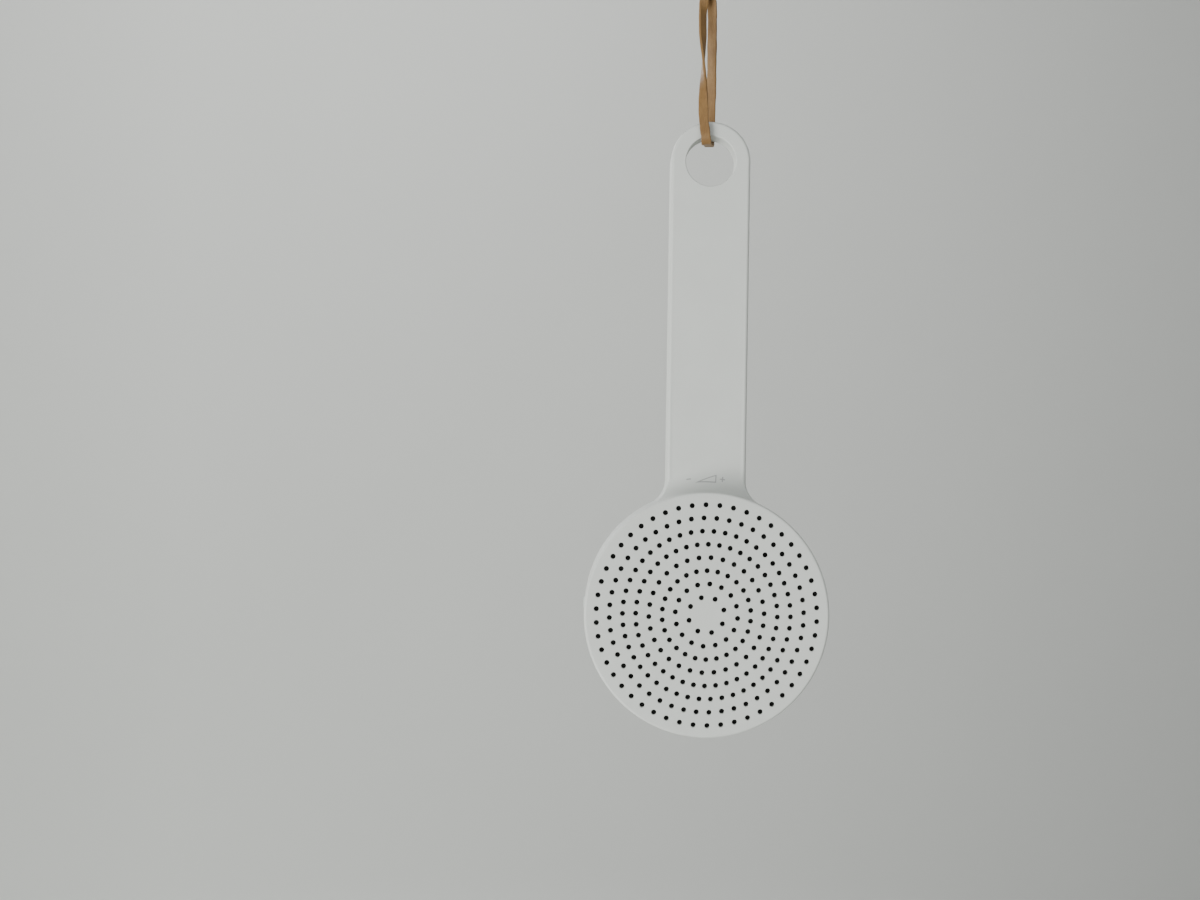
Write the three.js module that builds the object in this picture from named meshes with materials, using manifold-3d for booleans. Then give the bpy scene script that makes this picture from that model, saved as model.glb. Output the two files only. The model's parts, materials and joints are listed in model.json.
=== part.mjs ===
// A wall-hung shower speaker: a round drum on a flat handle, hung by a leather lace through the handle's hole.
// Millimetres, +Z up along the handle, the front face looks along -Y, +X to the right seen from the front.
// The origin is the middle of the hanging hole.
import * as THREE from 'three'
import { mergeVertices } from 'three/addons/utils/BufferGeometryUtils.js'
import Module from 'manifold-3d'

const wasm = await Module()
wasm.setup()

// ---- Driving dimensions ----

const WELD = 1e-4
const GAP = 0.3 // between parts that touch

// The case
const HANDLE_HALF_WIDTH = 13.2
const HANDLE_HALF_DEPTH = 7
const DRUM_RADIUS = 40
const DRUM_Z = -150 // the drum's axis, below the hanging hole
const OUTLINE_FILLET = 8.5 // where the handle runs into the drum
const EDGE_ROUND = 1
const HOLE_RADIUS = 8.3
const HOLE_RIM_ROUND = 0.4
const HOLE_FLARE_WIDTH = 3.2
const HOLE_FLARE_DEPTH = 5.4
const WALL = 2.4
const SKIN = 2.2 // front and back walls
const BACK_Y = HANDLE_HALF_DEPTH
const HANDLE_FRONT_Y = -HANDLE_HALF_DEPTH
const BAFFLE_Y = -13.5 // the drum's fixed front wall
const DIAL_FRONT_Y = -20
const CAVITY_TOP_Z = -12.5 // the hollow part of the handle starts below the hanging hole

// The volume dial
const DIAL_PLATE = 1.6
const DIAL_SKIRT = 1.6
const DIAL_EDGE_ROUND = 0.8
const DIAL_BOTTOM_Y = BAFFLE_Y - 0.4
const SOUND_HOLES_PER_RING = [8, 16, 26, 30, 40, 46, 48, 50]
const FIRST_RING_RADIUS = 5.9
const RING_PITCH = 4.29
const SOUND_HOLE_RADIUS = 0.86
const SOUND_HOLE_SIDES = 4
const DIAL_INDEX = THREE.MathUtils.degToRad(62.3) // every ring of holes starts on this radius

// The dial's drive
const RING_TEETH = 72
const PINION_TEETH = 10
const RING_ROOT = 37
const RING_TIP = 35.1
const PINION_ROOT = 3.8
const PINION_TIP = 5.75
const PINION_DISTANCE = 31
const PINION_DIRECTION = 75 // degrees round the drum from +X
const SHAFT_RADIUS = 1.5
const GEAR_FRONT_Y = -16.3
const GEAR_BACK_Y = -14.6

// The loudspeaker
const DRIVER_APERTURE = 21.5
const FLANGE_RADIUS = 25.3
const DRIVER_SCREW_RADIUS = 23.9

// Fasteners
const BOSS_RADIUS = 2.9
const CASE_SCREW_RADIUS = 33.2
const CASE_SCREW_DIRECTIONS = [38, 142, 218, 322]
const HANDLE_SCREW_Z = [-19.5, -38]
const BOARD_SCREW_DIRECTIONS = [58, 200, 340]
const BOARD_SCREW_RADIUS = 29.5

// Side fittings, all on the drum's side wall
const SIDE_Y = -9
const BUTTON_Z = 2.8
const BUTTON_LENGTH = 4.4
const BUTTON_WIDTH = 3
const BUTTON_PROUD = 0.2
const LIGHT_Z = -1.3

// The lace
const LACE_WIDTH = 3.2
const LACE_THICKNESS = 1

// ---- Materials ----

const paint = (color, roughness, metalness = 0) => new THREE.MeshStandardMaterial({ color, roughness, metalness })
const WHITE_PLASTIC = { color: '#d3d5d2', roughness: 0.55 }
const whitePlastic = () => paint(WHITE_PLASTIC.color, WHITE_PLASTIC.roughness)
const blackPlastic = () => paint('#1b1c1e', 0.6)
const whiteAcetal = () => paint('#e8e6df', 0.45)
const greyRubber = () => paint('#8d9091', 0.85)
const blackRubber = () => paint('#17181a', 0.85)
const steel = () => paint('#b9bcc0', 0.3, 1)
const copper = () => paint('#b4713c', 0.35, 1)
const leather = () => paint('#96764e', 0.75)

// ---- Geometry helpers ----

// The same surface with shared vertices, no collapsed triangles, and faces that point out.
function closed(geometry) {
  const bare = geometry.clone()
  bare.deleteAttribute('normal')
  bare.deleteAttribute('uv')
  const merged = mergeVertices(bare, WELD)
  const at = (i) => new THREE.Vector3().fromBufferAttribute(merged.attributes.position, i)
  const triangles = []
  let volume = 0
  for (let i = 0; i < merged.index.count; i += 3) {
    const [a, b, c] = [0, 1, 2].map((k) => merged.index.getX(i + k))
    if (a !== b && b !== c && c !== a) {
      triangles.push([a, b, c])
      volume += at(a).dot(at(b).cross(at(c)))
    }
  }
  const facing = volume > 0 ? triangles : triangles.map(([a, b, c]) => [a, c, b])
  merged.setIndex(facing.flat())
  return merged
}

function solid(geometry) {
  const mesh = closed(geometry)
  return new wasm.Manifold(
    new wasm.Mesh({
      numProp: 3,
      vertProperties: new Float32Array(mesh.attributes.position.array),
      triVerts: new Uint32Array(mesh.index.array),
    }),
  )
}

function surface(manifold) {
  const mesh = manifold.getMesh()
  const geometry = new THREE.BufferGeometry()
  geometry.setAttribute('position', new THREE.BufferAttribute(new Float32Array(mesh.vertProperties), 3))
  geometry.setIndex([...mesh.triVerts])
  return closed(geometry)
}

const union = (first, ...others) => others.reduce((sum, other) => sum.add(other), first)
const cut = (body, ...tools) => tools.reduce((rest, tool) => rest.subtract(tool), body)

// A shape drawn in X and Z, standing from one depth to another.
function slab(shape, fromY, toY, bevel = {}) {
  const depth = Math.abs(fromY - toY)
  const geometry = new THREE.ExtrudeGeometry(shape, { depth, bevelEnabled: false, curveSegments: 8, ...bevel })
  geometry.rotateX(Math.PI / 2)
  geometry.translate(0, Math.max(fromY, toY), 0)
  return geometry
}

// A closed profile of [radius, y] points turned round the Y axis.
function turned(profile, segments = 24) {
  const points = [...profile, profile[0]].map(([r, y]) => new THREE.Vector2(r, y))
  return new THREE.LatheGeometry(points, segments)
}

const tubeRing = (inner, outer, y0, y1, segments = 24) =>
  turned([[inner, y0], [outer, y0], [outer, y1], [inner, y1]], segments)

// A cylinder along Y, or a cone where the radii differ, at a point of X and Z.
function rod(radius, y0, y1, x = 0, z = 0, segments = 10) {
  const geometry = new THREE.CylinderGeometry(radius, radius, Math.abs(y1 - y0), segments)
  return geometry.translate(x, (y0 + y1) / 2, z)
}

// A cylinder along X.
function crossRod(radius, x0, x1, y, z, segments = 12) {
  const geometry = new THREE.CylinderGeometry(radius, radius, Math.abs(x1 - x0), segments)
  return geometry.rotateZ(Math.PI / 2).translate((x0 + x1) / 2, y, z)
}

function block(x0, x1, y0, y1, z0, z1) {
  const geometry = new THREE.BoxGeometry(Math.abs(x1 - x0), Math.abs(y1 - y0), Math.abs(z1 - z0))
  return geometry.translate((x0 + x1) / 2, (y0 + y1) / 2, (z0 + z1) / 2)
}

function arc(x, z, radius, from, to, steps) {
  return Array.from({ length: steps + 1 }, (_, i) => {
    const angle = from + ((to - from) * i) / steps
    return new THREE.Vector2(x + radius * Math.cos(angle), z + radius * Math.sin(angle))
  })
}

function roundedRectangle(width, height, radius, steps = 3) {
  const [w, h] = [width / 2 - radius, height / 2 - radius]
  const quarter = Math.PI / 2
  const corners = [[w, h], [-w, h], [-w, -h], [w, -h]]
  return new THREE.Shape(
    corners.flatMap(([x, z], i) => arc(x, z, radius, i * quarter, (i + 1) * quarter, steps)),
  )
}

// A rounded plate that faces along X, between two distances from the drum's axis.
function sidePlate(length, width, radius, x0, x1, z) {
  const geometry = new THREE.ExtrudeGeometry(roundedRectangle(width, length, radius), {
    depth: Math.abs(x1 - x0),
    bevelEnabled: false,
  })
  geometry.rotateX(Math.PI / 2)
  geometry.rotateZ(Math.PI / 2)
  return geometry.translate(Math.min(x0, x1), SIDE_Y, z)
}

const aroundDrum = (radius, degrees) => {
  const angle = THREE.MathUtils.degToRad(degrees)
  return [radius * Math.cos(angle), radius * Math.sin(angle)]
}

// A tube of a section with flat or round sides along a curve.
function cable(points, section, steps) {
  const path = new THREE.CatmullRomCurve3(points.map(([x, y, z]) => new THREE.Vector3(x, y, z)))
  return new THREE.ExtrudeGeometry(section, { extrudePath: path, steps, bevelEnabled: false })
}

const roundSection = (radius) => new THREE.Shape(arc(0, 0, radius, 0, (7 / 4) * Math.PI, 7))

// ---- The assembly ----

const speaker = new THREE.Group()
const drum = new THREE.Group()
drum.position.z = DRUM_Z
speaker.add(drum)

function piece(parent, name, shape, material) {
  const geometry = shape.isBufferGeometry ? closed(shape) : surface(shape)
  const mesh = new THREE.Mesh(geometry, material)
  mesh.name = name
  parent.add(mesh)
  return mesh
}

// ---- The case ----

// The fillet between the handle's side and the drum: its centre, and the slope of the line to the drum's axis.
const FILLET_X = HANDLE_HALF_WIDTH + OUTLINE_FILLET
const FILLET_RISE = Math.sqrt((DRUM_RADIUS + OUTLINE_FILLET) ** 2 - FILLET_X ** 2)
const FILLET_SLOPE = Math.atan2(FILLET_RISE, FILLET_X)
const FREE_DRUM_ARC = [Math.PI - FILLET_SLOPE, 2 * Math.PI + FILLET_SLOPE, 40]

// The paddle outline of handle and drum, moved in from the outer surface by inset.
function paddle(inset) {
  const filletZ = DRUM_Z + FILLET_RISE
  const fillet = OUTLINE_FILLET + inset
  return new THREE.Shape([
    ...arc(0, 0, HANDLE_HALF_WIDTH - inset, 0, Math.PI, 14),
    ...arc(-FILLET_X, filletZ, fillet, 0, -FILLET_SLOPE, 4),
    ...arc(0, DRUM_Z, DRUM_RADIUS - inset, ...FREE_DRUM_ARC).slice(1),
    ...arc(FILLET_X, filletZ, fillet, Math.PI + FILLET_SLOPE, Math.PI, 4).slice(1),
  ])
}

// The drum's full circle, with the paddle outline's own points where the drum is free of the handle.
function drumCircle() {
  return new THREE.Shape([
    ...arc(0, DRUM_Z, DRUM_RADIUS, ...FREE_DRUM_ARC),
    ...arc(0, DRUM_Z, DRUM_RADIUS, FILLET_SLOPE, Math.PI - FILLET_SLOPE, 8).slice(1, -1),
  ])
}

const toDrum = (geometry) => geometry.translate(0, 0, DRUM_Z)

// The case before it is split: handle, drum and the cove between them, hollow, with the hanging hole.
function wholeCase() {
  const rounded = {
    bevelEnabled: true,
    bevelThickness: EDGE_ROUND,
    bevelSize: EDGE_ROUND,
    bevelOffset: -EDGE_ROUND,
    bevelSegments: 1,
  }
  const body = solid(slab(paddle(0), BACK_Y - EDGE_ROUND, HANDLE_FRONT_Y + EDGE_ROUND, rounded))
  const wall = solid(slab(drumCircle(), 0, BAFFLE_Y))
  const coveRadius = HANDLE_FRONT_Y - BAFFLE_Y
  const coveArc = arc(DRUM_RADIUS + coveRadius, BAFFLE_Y, coveRadius, Math.PI / 2, Math.PI, 4)
  const coveProfile = [
    [DRUM_RADIUS - 2, HANDLE_FRONT_Y + 1.5],
    [DRUM_RADIUS + coveRadius, HANDLE_FRONT_Y + 1.5],
    ...coveArc.map((p) => [p.x, p.y]),
    [DRUM_RADIUS - 2, BAFFLE_Y],
  ]
  const cove = solid(toDrum(turned(coveProfile, 48))).intersect(solid(slab(paddle(0), 0, BAFFLE_Y)))
  const handleHollow = solid(
    block(
      WALL - HANDLE_HALF_WIDTH,
      HANDLE_HALF_WIDTH - WALL,
      HANDLE_FRONT_Y + SKIN,
      BACK_Y - SKIN,
      DRUM_Z + 30,
      CAVITY_TOP_Z,
    ),
  )
  const drumHollow = solid(
    toDrum(turned([[0, BACK_Y - SKIN], [DRUM_RADIUS - WALL, BACK_Y - SKIN],
      [DRUM_RADIUS - WALL, BAFFLE_Y + SKIN], [0, BAFFLE_Y + SKIN]], 36)),
  )
  const rim = HOLE_RADIUS + HOLE_RIM_ROUND
  const straight = HANDLE_HALF_DEPTH - HOLE_RIM_ROUND
  const flare = Array.from({ length: 6 }, (_, step) => {
    const turn = (Math.PI / 2) * (step / 5)
    return [
      HOLE_RADIUS + HOLE_FLARE_WIDTH * (1 - Math.cos(turn)),
      BACK_Y - HOLE_FLARE_DEPTH * (1 - Math.sin(turn)),
    ]
  })
  const hole = solid(
    turned([[0, -HANDLE_HALF_DEPTH - 1], [rim + 0.4, -HANDLE_HALF_DEPTH - 1], [rim, -HANDLE_HALF_DEPTH],
      [HOLE_RADIUS + 0.15, -straight - 0.15], [HOLE_RADIUS, -straight + 0.4],
      ...flare, [HOLE_RADIUS + HOLE_FLARE_WIDTH, BACK_Y + 1], [0, BACK_Y + 1]], 24),
  )
  return cut(union(body, wall, cove), handleHollow, drumHollow, hole)
}

const halfSpace = (fromY, toY) => solid(block(-60, 60, fromY, toY, -220, 40))
const caseScrewPlaces = [
  ...CASE_SCREW_DIRECTIONS.map((degrees) => {
    const [x, z] = aroundDrum(CASE_SCREW_RADIUS, degrees)
    return [x, z + DRUM_Z]
  }),
  ...HANDLE_SCREW_Z.map((z) => [0, z]),
]
const BOSS_TOP_Y = 3
const [pinionX, pinionZ] = aroundDrum(PINION_DISTANCE, PINION_DIRECTION)

function addCase() {
  const whole = wholeCase()
  const bosses = caseScrewPlaces.map(([x, z], i) => {
    const frontY = i < CASE_SCREW_DIRECTIONS.length ? BAFFLE_Y + 1 : HANDLE_FRONT_Y + 1
    return solid(rod(BOSS_RADIUS, frontY, BOSS_TOP_Y, x, z))
  })
  const bossHoles = caseScrewPlaces.map(([x, z]) => solid(rod(1.4, HANDLE_FRONT_Y + 1.5, BOSS_TOP_Y + 1, x, z, 8)))
  const boardPosts = BOARD_SCREW_DIRECTIONS.map((degrees) => {
    const [x, z] = aroundDrum(BOARD_SCREW_RADIUS, degrees)
    return cut(
      solid(rod(1.9, BAFFLE_Y + 1, -7 - GAP, x, z + DRUM_Z, 10)),
      solid(rod(0.9, -11, -6, x, z + DRUM_Z, 8)),
    )
  })
  const collar = solid(toDrum(tubeRing(32.4, 34.6, BAFFLE_Y + 1, GEAR_FRONT_Y, 32)))
  const pinionRoom = solid(toDrum(rod(6.5, BAFFLE_Y, -19, pinionX, pinionZ, 20)))
  const aperture = solid(toDrum(rod(DRIVER_APERTURE, -20, -5, 0, 0, 28)))
  const sealSeat = solid(toDrum(rod(3.2, BAFFLE_Y - 1, BAFFLE_Y + 1.5, pinionX, pinionZ)))
  const shaftHole = solid(toDrum(rod(SHAFT_RADIUS + GAP, -20, -10, pinionX, pinionZ)))
  const driverScrewHoles = [45, 135, 225, 315].map((degrees) => {
    const [x, z] = aroundDrum(DRIVER_SCREW_RADIUS, degrees)
    return solid(toDrum(rod(1, BAFFLE_Y + 0.6, -10, x, z, 8)))
  })
  const buttonHole = solid(toDrum(sidePlate(BUTTON_LENGTH + 0.6, BUTTON_WIDTH + 0.6, 1.7, -42, -34, BUTTON_Z)))
  const lightHole = solid(toDrum(crossRod(0.8, -42, -34, SIDE_Y, LIGHT_Z, 8)))
  const coverSeat = solid(toDrum(tubeRing(38.6, 41, -20, 0, 48))).intersect(
    solid(toDrum(sidePlate(13.2, 7.6, 1.8, 30, 42, 0))),
  )
  const portOpening = solid(toDrum(sidePlate(10.6, 4.6, 1.2, 30, 42, 0)))
  const front = union(whole.intersect(halfSpace(-30, 0)), ...bosses)
  piece(
    speaker,
    'front_housing',
    cut(
      union(cut(union(front, collar), pinionRoom.intersect(halfSpace(BAFFLE_Y, -30))), ...boardPosts),
      ...bossHoles,
      aperture,
      sealSeat,
      shaftHole,
      ...driverScrewHoles,
      buttonHole,
      lightHole,
      coverSeat,
      portOpening,
    ),
    whitePlastic(),
  )

  const groove = cut(solid(slab(paddle(0.7), GAP - 1, 1.3)), solid(slab(paddle(1.7), GAP - 2, 2)))
  const pads = caseScrewPlaces.map(([x, z]) => solid(rod(4, BOSS_TOP_Y + GAP, BACK_Y - 1, x, z)))
  const padHoles = caseScrewPlaces.flatMap(([x, z]) => [
    solid(rod(1.5, 0, BACK_Y + 1, x, z, 8)),
    solid(rod(2.8, 5.2, BACK_Y + 1, x, z)),
  ])
  const rear = union(whole.intersect(halfSpace(GAP, 20)), ...pads)
  piece(speaker, 'rear_housing', cut(rear, groove, ...padHoles), whitePlastic())

  const seal = cut(solid(slab(paddle(0.95), GAP, 1)), solid(slab(paddle(1.45), 0, 2)))
  piece(speaker, 'case_seal', seal, greyRubber())

  caseScrewPlaces.forEach(([x, z], i) => {
    const screw = piece(speaker, `case_screw_${i + 1}`, screwShape(2.4, 6.8, 5.5, 1.1, -4.5), steel())
    screw.position.set(x, 0, z)
  })
}

// A screw along Y: a head from headY to neckY, then a shank down to tipY.
function screwShape(headRadius, headY, neckY, shankRadius, tipY) {
  return turned([[0, tipY], [shankRadius, tipY], [shankRadius, neckY], [headRadius, neckY], [headRadius, headY],
    [0, headY]], 10)
}

// ---- The volume dial and its drive ----

function soundHoles() {
  return SOUND_HOLES_PER_RING.flatMap((count, ring) => {
    const radius = FIRST_RING_RADIUS + ring * RING_PITCH
    return Array.from({ length: count }, (_, i) => {
      const angle = DIAL_INDEX + (2 * Math.PI * i) / count
      const [x, z] = [radius * Math.cos(angle), radius * Math.sin(angle)]
      const turn = (2 * Math.PI * (SOUND_HOLE_SIDES - 1)) / SOUND_HOLE_SIDES
      return new THREE.Path(arc(x, z, SOUND_HOLE_RADIUS, angle, angle + turn, SOUND_HOLE_SIDES - 1))
    })
  })
}

// The teeth of a gear as one closed outline. Each flank is a straight line between root and tip.
function toothOutline(teeth, root, tip, halfRoot, halfTip, phase) {
  return Array.from({ length: teeth }, (_, i) => phase + (2 * Math.PI * i) / teeth).flatMap((middle) =>
    [[root, -halfRoot], [tip, -halfTip], [tip, halfTip], [root, halfRoot]].map(([radius, half]) => {
      const angle = middle + half / radius
      return new THREE.Vector2(radius * Math.cos(angle), radius * Math.sin(angle))
    }),
  )
}

function addDial() {
  const plate = new THREE.Shape(arc(0, 0, 38, 0, (47 / 24) * Math.PI, 47))
  plate.holes.push(...soundHoles())
  const edge = arc(DRUM_RADIUS - DIAL_EDGE_ROUND, DIAL_FRONT_Y + DIAL_EDGE_ROUND, DIAL_EDGE_ROUND, -Math.PI / 2, 0, 3)
  const rim = turned([[37.4, DIAL_FRONT_Y], ...edge.map((p) => [p.x, p.y]), [DRUM_RADIUS, DIAL_BOTTOM_Y],
    [DRUM_RADIUS - DIAL_SKIRT, DIAL_BOTTOM_Y], [DRUM_RADIUS - DIAL_SKIRT, DIAL_FRONT_Y + DIAL_PLATE],
    [37.4, DIAL_FRONT_Y + DIAL_PLATE]], 48)
  const face = solid(slab(plate, DIAL_FRONT_Y + DIAL_PLATE, DIAL_FRONT_Y))
  piece(drum, 'volume_dial', union(face, solid(rim)), whitePlastic())
  piece(drum, 'dial_cloth', turned([[0, -18.1], [37.6, -18.1], [37.6, -17.8], [0, -17.8]]), paint('#0c0c0d', 0.95))

  const phase = THREE.MathUtils.degToRad(PINION_DIRECTION)
  const gear = new THREE.Shape(arc(0, 0, 38.1, 0, (35 / 18) * Math.PI, 35))
  gear.holes.push(new THREE.Path(toothOutline(RING_TEETH, RING_ROOT, RING_TIP, 0.85, 0.45, phase + Math.PI / RING_TEETH)))
  piece(drum, 'dial_ring_gear', slab(gear, GEAR_BACK_Y, GEAR_FRONT_Y), whiteAcetal())

  const pinionTeeth = new THREE.Shape(toothOutline(PINION_TEETH, PINION_ROOT, PINION_TIP, 0.85, 0.35, phase))
  const pinion = union(solid(slab(pinionTeeth, GEAR_BACK_Y, GEAR_FRONT_Y)), solid(rod(SHAFT_RADIUS, -16, -8.3)))
  const pinionMesh = piece(drum, 'encoder_pinion', pinion, whiteAcetal())
  pinionMesh.position.set(pinionX, 0, pinionZ)

  const pinionRoom = solid(rod(6.5, -12, -19, pinionX, pinionZ, 20))
  piece(drum, 'dial_retaining_ring', cut(solid(tubeRing(32.4, 36.2, -17.5, -16.6, 32)), pinionRoom), whiteAcetal())
  piece(drum, 'dial_glide_ring', tubeRing(35.4, 37.9, -14.3, -13.8, 32), whiteAcetal())
  const shaftSeal = piece(drum, 'encoder_shaft_seal', tubeRing(SHAFT_RADIUS + GAP, 2.9, -13.2, -12.3, 16), blackRubber())
  shaftSeal.position.set(pinionX, 0, pinionZ)
  const encoder = cut(
    solid(block(-4.2, 4.2, -10.9, -7.3, -4.2, 4.2)),
    solid(rod(SHAFT_RADIUS + GAP, -12, -8, 0, 0)),
  )
  const encoderMesh = piece(drum, 'encoder_body', encoder, blackPlastic())
  encoderMesh.position.set(pinionX, 0, pinionZ)
}

// ---- The loudspeaker ----

function addDriver() {
  piece(drum, 'driver_gasket', driverPlate(22.2, -11, -10.4), blackRubber())
  const cage = solid(
    turned([[20.9, -10.1], [FLANGE_RADIUS, -10.1], [FLANGE_RADIUS, -9.1], [22.4, -9.1], [15, -1.6], [9, -1.6],
      [9, -2.6], [14.2, -2.6], [20.9, -9.2]]),
  )
  const windows = [0, 90].map((degrees) =>
    solid(block(-30, 30, -7.6, -3.6, -4.5, 4.5).rotateY(THREE.MathUtils.degToRad(degrees))),
  )
  const screws = [45, 135, 225, 315].map((degrees) => aroundDrum(DRIVER_SCREW_RADIUS, degrees))
  const flangeHoles = screws.map(([x, z]) => solid(rod(1, -12, -8, x, z, 8)))
  piece(drum, 'driver_basket', cut(cage, ...windows, ...flangeHoles), blackPlastic())
  screws.forEach(([x, z], i) => {
    const screw = piece(drum, `driver_screw_${i + 1}`, screwShape(1.3, -7.9, -8.8, 0.7, -12.5), steel())
    screw.position.set(x, 0, z)
  })

  const rollOuter = arc(18.7, -10, 1.9, Math.PI, 2 * Math.PI, 4).map((p) => [p.x, p.y])
  const rollInner = arc(18.7, -10, 1.5, 2 * Math.PI, Math.PI, 4).map((p) => [p.x, p.y])
  piece(drum, 'driver_surround', turned([...rollOuter, ...rollInner]), blackRubber())
  piece(
    drum,
    'driver_cone',
    turned([[16.4, -10.3], [16.5, -9.9], [5.9, -5], [5.6, -5.4]]),
    paint('#2a2b2d', 0.8),
  )
  piece(
    drum,
    'dust_cap',
    turned([[0, -7.9], [2.4, -7.6], [4.4, -6.9], [5.5, -6.1], [5.2, -5.8], [4.2, -6.5], [2.3, -7.2], [0, -7.5]], 20),
    paint('#202123', 0.7),
  )
  piece(drum, 'voice_coil', tubeRing(4.9, 5.5, -5, 0.9, 20), copper())
  piece(
    drum,
    'driver_spider',
    turned([[5.9, -3.7], [7.9, -4.2], [9.9, -3.5], [11.9, -4.2], [13.8, -3.7], [13.8, -3.3], [11.9, -3.8],
      [9.9, -3.1], [7.9, -3.8], [5.9, -3.3]]),
    paint('#a5884e', 0.9),
  )
  piece(
    drum,
    'driver_yoke',
    turned([[0, 3.7], [10.5, 3.7], [10.5, -1.3], [6, -1.3], [6, 2.5], [0, 2.5]], 24),
    steel(),
  )
  piece(drum, 'driver_magnet', turned([[0, 2.2], [4.4, 2.2], [4.4, 0], [0, 0]], 20), paint('#8f9196', 0.25, 1))
  piece(drum, 'driver_pole_plate', turned([[0, -GAP], [4.5, -GAP], [4.5, -1.5], [0, -1.5]], 20), steel())
}

// A flat ring with the flange's outer radius and the four screw holes.
function driverPlate(inner, y0, y1) {
  const holes = [45, 135, 225, 315].map((degrees) => {
    const [x, z] = aroundDrum(DRIVER_SCREW_RADIUS, degrees)
    return solid(rod(1, y0 - 1, y1 + 1, x, z, 8))
  })
  return cut(solid(tubeRing(inner, FLANGE_RADIUS, y0, y1)), ...holes)
}

// ---- Electronics ----

function addElectronics() {
  const bossNotches = CASE_SCREW_DIRECTIONS.map((degrees) => {
    const [x, z] = aroundDrum(CASE_SCREW_RADIUS, degrees)
    return solid(rod(BOSS_RADIUS + 0.4, -10, 0, x, z))
  })
  const boardHoles = BOARD_SCREW_DIRECTIONS.map((degrees) => {
    const [x, z] = aroundDrum(BOARD_SCREW_RADIUS, degrees)
    return solid(rod(1, -10, 0, x, z, 8))
  })
  piece(
    drum,
    'main_board',
    cut(solid(tubeRing(26.4, 35.2, -7, -5.8, 32)), ...bossNotches, ...boardHoles),
    paint('#1f5a3a', 0.5),
  )
  BOARD_SCREW_DIRECTIONS.forEach((degrees, i) => {
    const [x, z] = aroundDrum(BOARD_SCREW_RADIUS, degrees)
    const screw = piece(drum, `board_screw_${i + 1}`, screwShape(1.6, -4.4, -5.5, 0.6, -10), steel())
    screw.position.set(x, 0, z)
  })
  piece(drum, 'radio_module', block(-6, 6, -5.5, -3.9, -36, -27.5), paint('#9fa3a6', 0.35, 1))
  const chip = piece(drum, 'amplifier_chip', block(-2.5, 2.5, -5.5, -4.5, -2.5, 2.5), blackPlastic())
  const [chipX, chipZ] = aroundDrum(31.5, 300)
  chip.position.set(chipX, 0, chipZ)
  piece(drum, 'battery_connector', block(-3, 3, -5.5, -2.5, 28, 32), paint('#e9e4d4', 0.5))
  piece(drum, 'speaker_connector', block(-12, -7, -5.5, -2.5, 28, 32), paint('#e9e4d4', 0.5))

  piece(speaker, 'battery', slab(roundedRectangle(19, 56, 1.5), 3.3, -3.9).translate(0, 0, -74), paint('#5b6f86', 0.4))
  piece(speaker, 'battery_pad', block(-9, 9, 3.6, 4.5, -100, -48), paint('#3b3c3e', 0.95))
}

function addLeads() {
  const lead = roundSection(0.55)
  const red = () => paint('#a32a24', 0.5)
  const black = () => paint('#161617', 0.5)
  const battery = [[1.4, red], [-1.4, black]]
  battery.forEach(([x, color], i) => {
    const route = [[x, 0, -102.4], [x, 0.3, -106], [x * 1.2, -1.5, -111], [x, -3.6, -114.5], [x, -3.9, -117.6]]
    piece(speaker, `battery_lead_${i + 1}`, cable(route, lead, 10), color())
  })
  const driver = [[-8.3, red], [-10.7, black]]
  driver.forEach(([x, color], i) => {
    const route = [[x, -4, 27.6], [x, -3, 26], [x + 0.4, -2.2, 23], [x + 1, -3.2, 20.5], [x + 1.4, -4.6, 18.8]]
    piece(drum, `speaker_lead_${i + 1}`, cable(route, lead, 8), color())
  })
}

// ---- Power button, status light and charging port, on the drum's side ----

function addSideFittings() {
  const buttonX = -DRUM_RADIUS - BUTTON_PROUD
  piece(drum, 'power_button', sidePlate(BUTTON_LENGTH, BUTTON_WIDTH, 1.4, buttonX, -36.8, BUTTON_Z), whitePlastic())
  piece(drum, 'button_membrane', sidePlate(5.8, 4.4, 1.6, -36.1, -35.6, BUTTON_Z), greyRubber())
  piece(drum, 'power_switch_plunger', crossRod(0.9, -35.2, -33.2, SIDE_Y, BUTTON_Z, 10), blackPlastic())
  const switchBody = cut(
    solid(block(-34.6, -30.6, -10.7, -7.3, BUTTON_Z - 2.5, BUTTON_Z + 2.5)),
    solid(crossRod(1.2, -36, -32.4, SIDE_Y, BUTTON_Z, 10)),
  )
  piece(drum, 'power_switch', switchBody, steel())
  piece(drum, 'status_light_pipe', crossRod(0.5, -40, -36, SIDE_Y, LIGHT_Z, 8), paint('#dfe6e4', 0.1))
  const lightBody = block(-35.6, -34, -9.4, -7.3, LIGHT_Z - 0.8, LIGHT_Z + 0.8)
  piece(drum, 'status_light', lightBody, paint('#efe9c8', 0.3))

  const shell = cut(
    solid(sidePlate(9, 3.2, 1.4, 29.2, 36.2, 0)),
    cut(solid(sidePlate(8.3, 2.5, 1.1, 30, 37, 0)), solid(block(29, 35.4, -9.35, -8.65, -3.2, 3.2))),
  )
  piece(drum, 'charging_port', shell, steel())
  const flap = solid(tubeRing(38.9, DRUM_RADIUS, -20, 0, 48)).intersect(solid(sidePlate(12.6, 7, 1.5, 30, 42, 0)))
  const plug = solid(sidePlate(9.6, 3.8, 0.9, 37.4, 39.2, 0))
  piece(drum, 'charging_port_cover', union(flap, plug), whitePlastic())
}

// ---- The hanging lace ----

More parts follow.
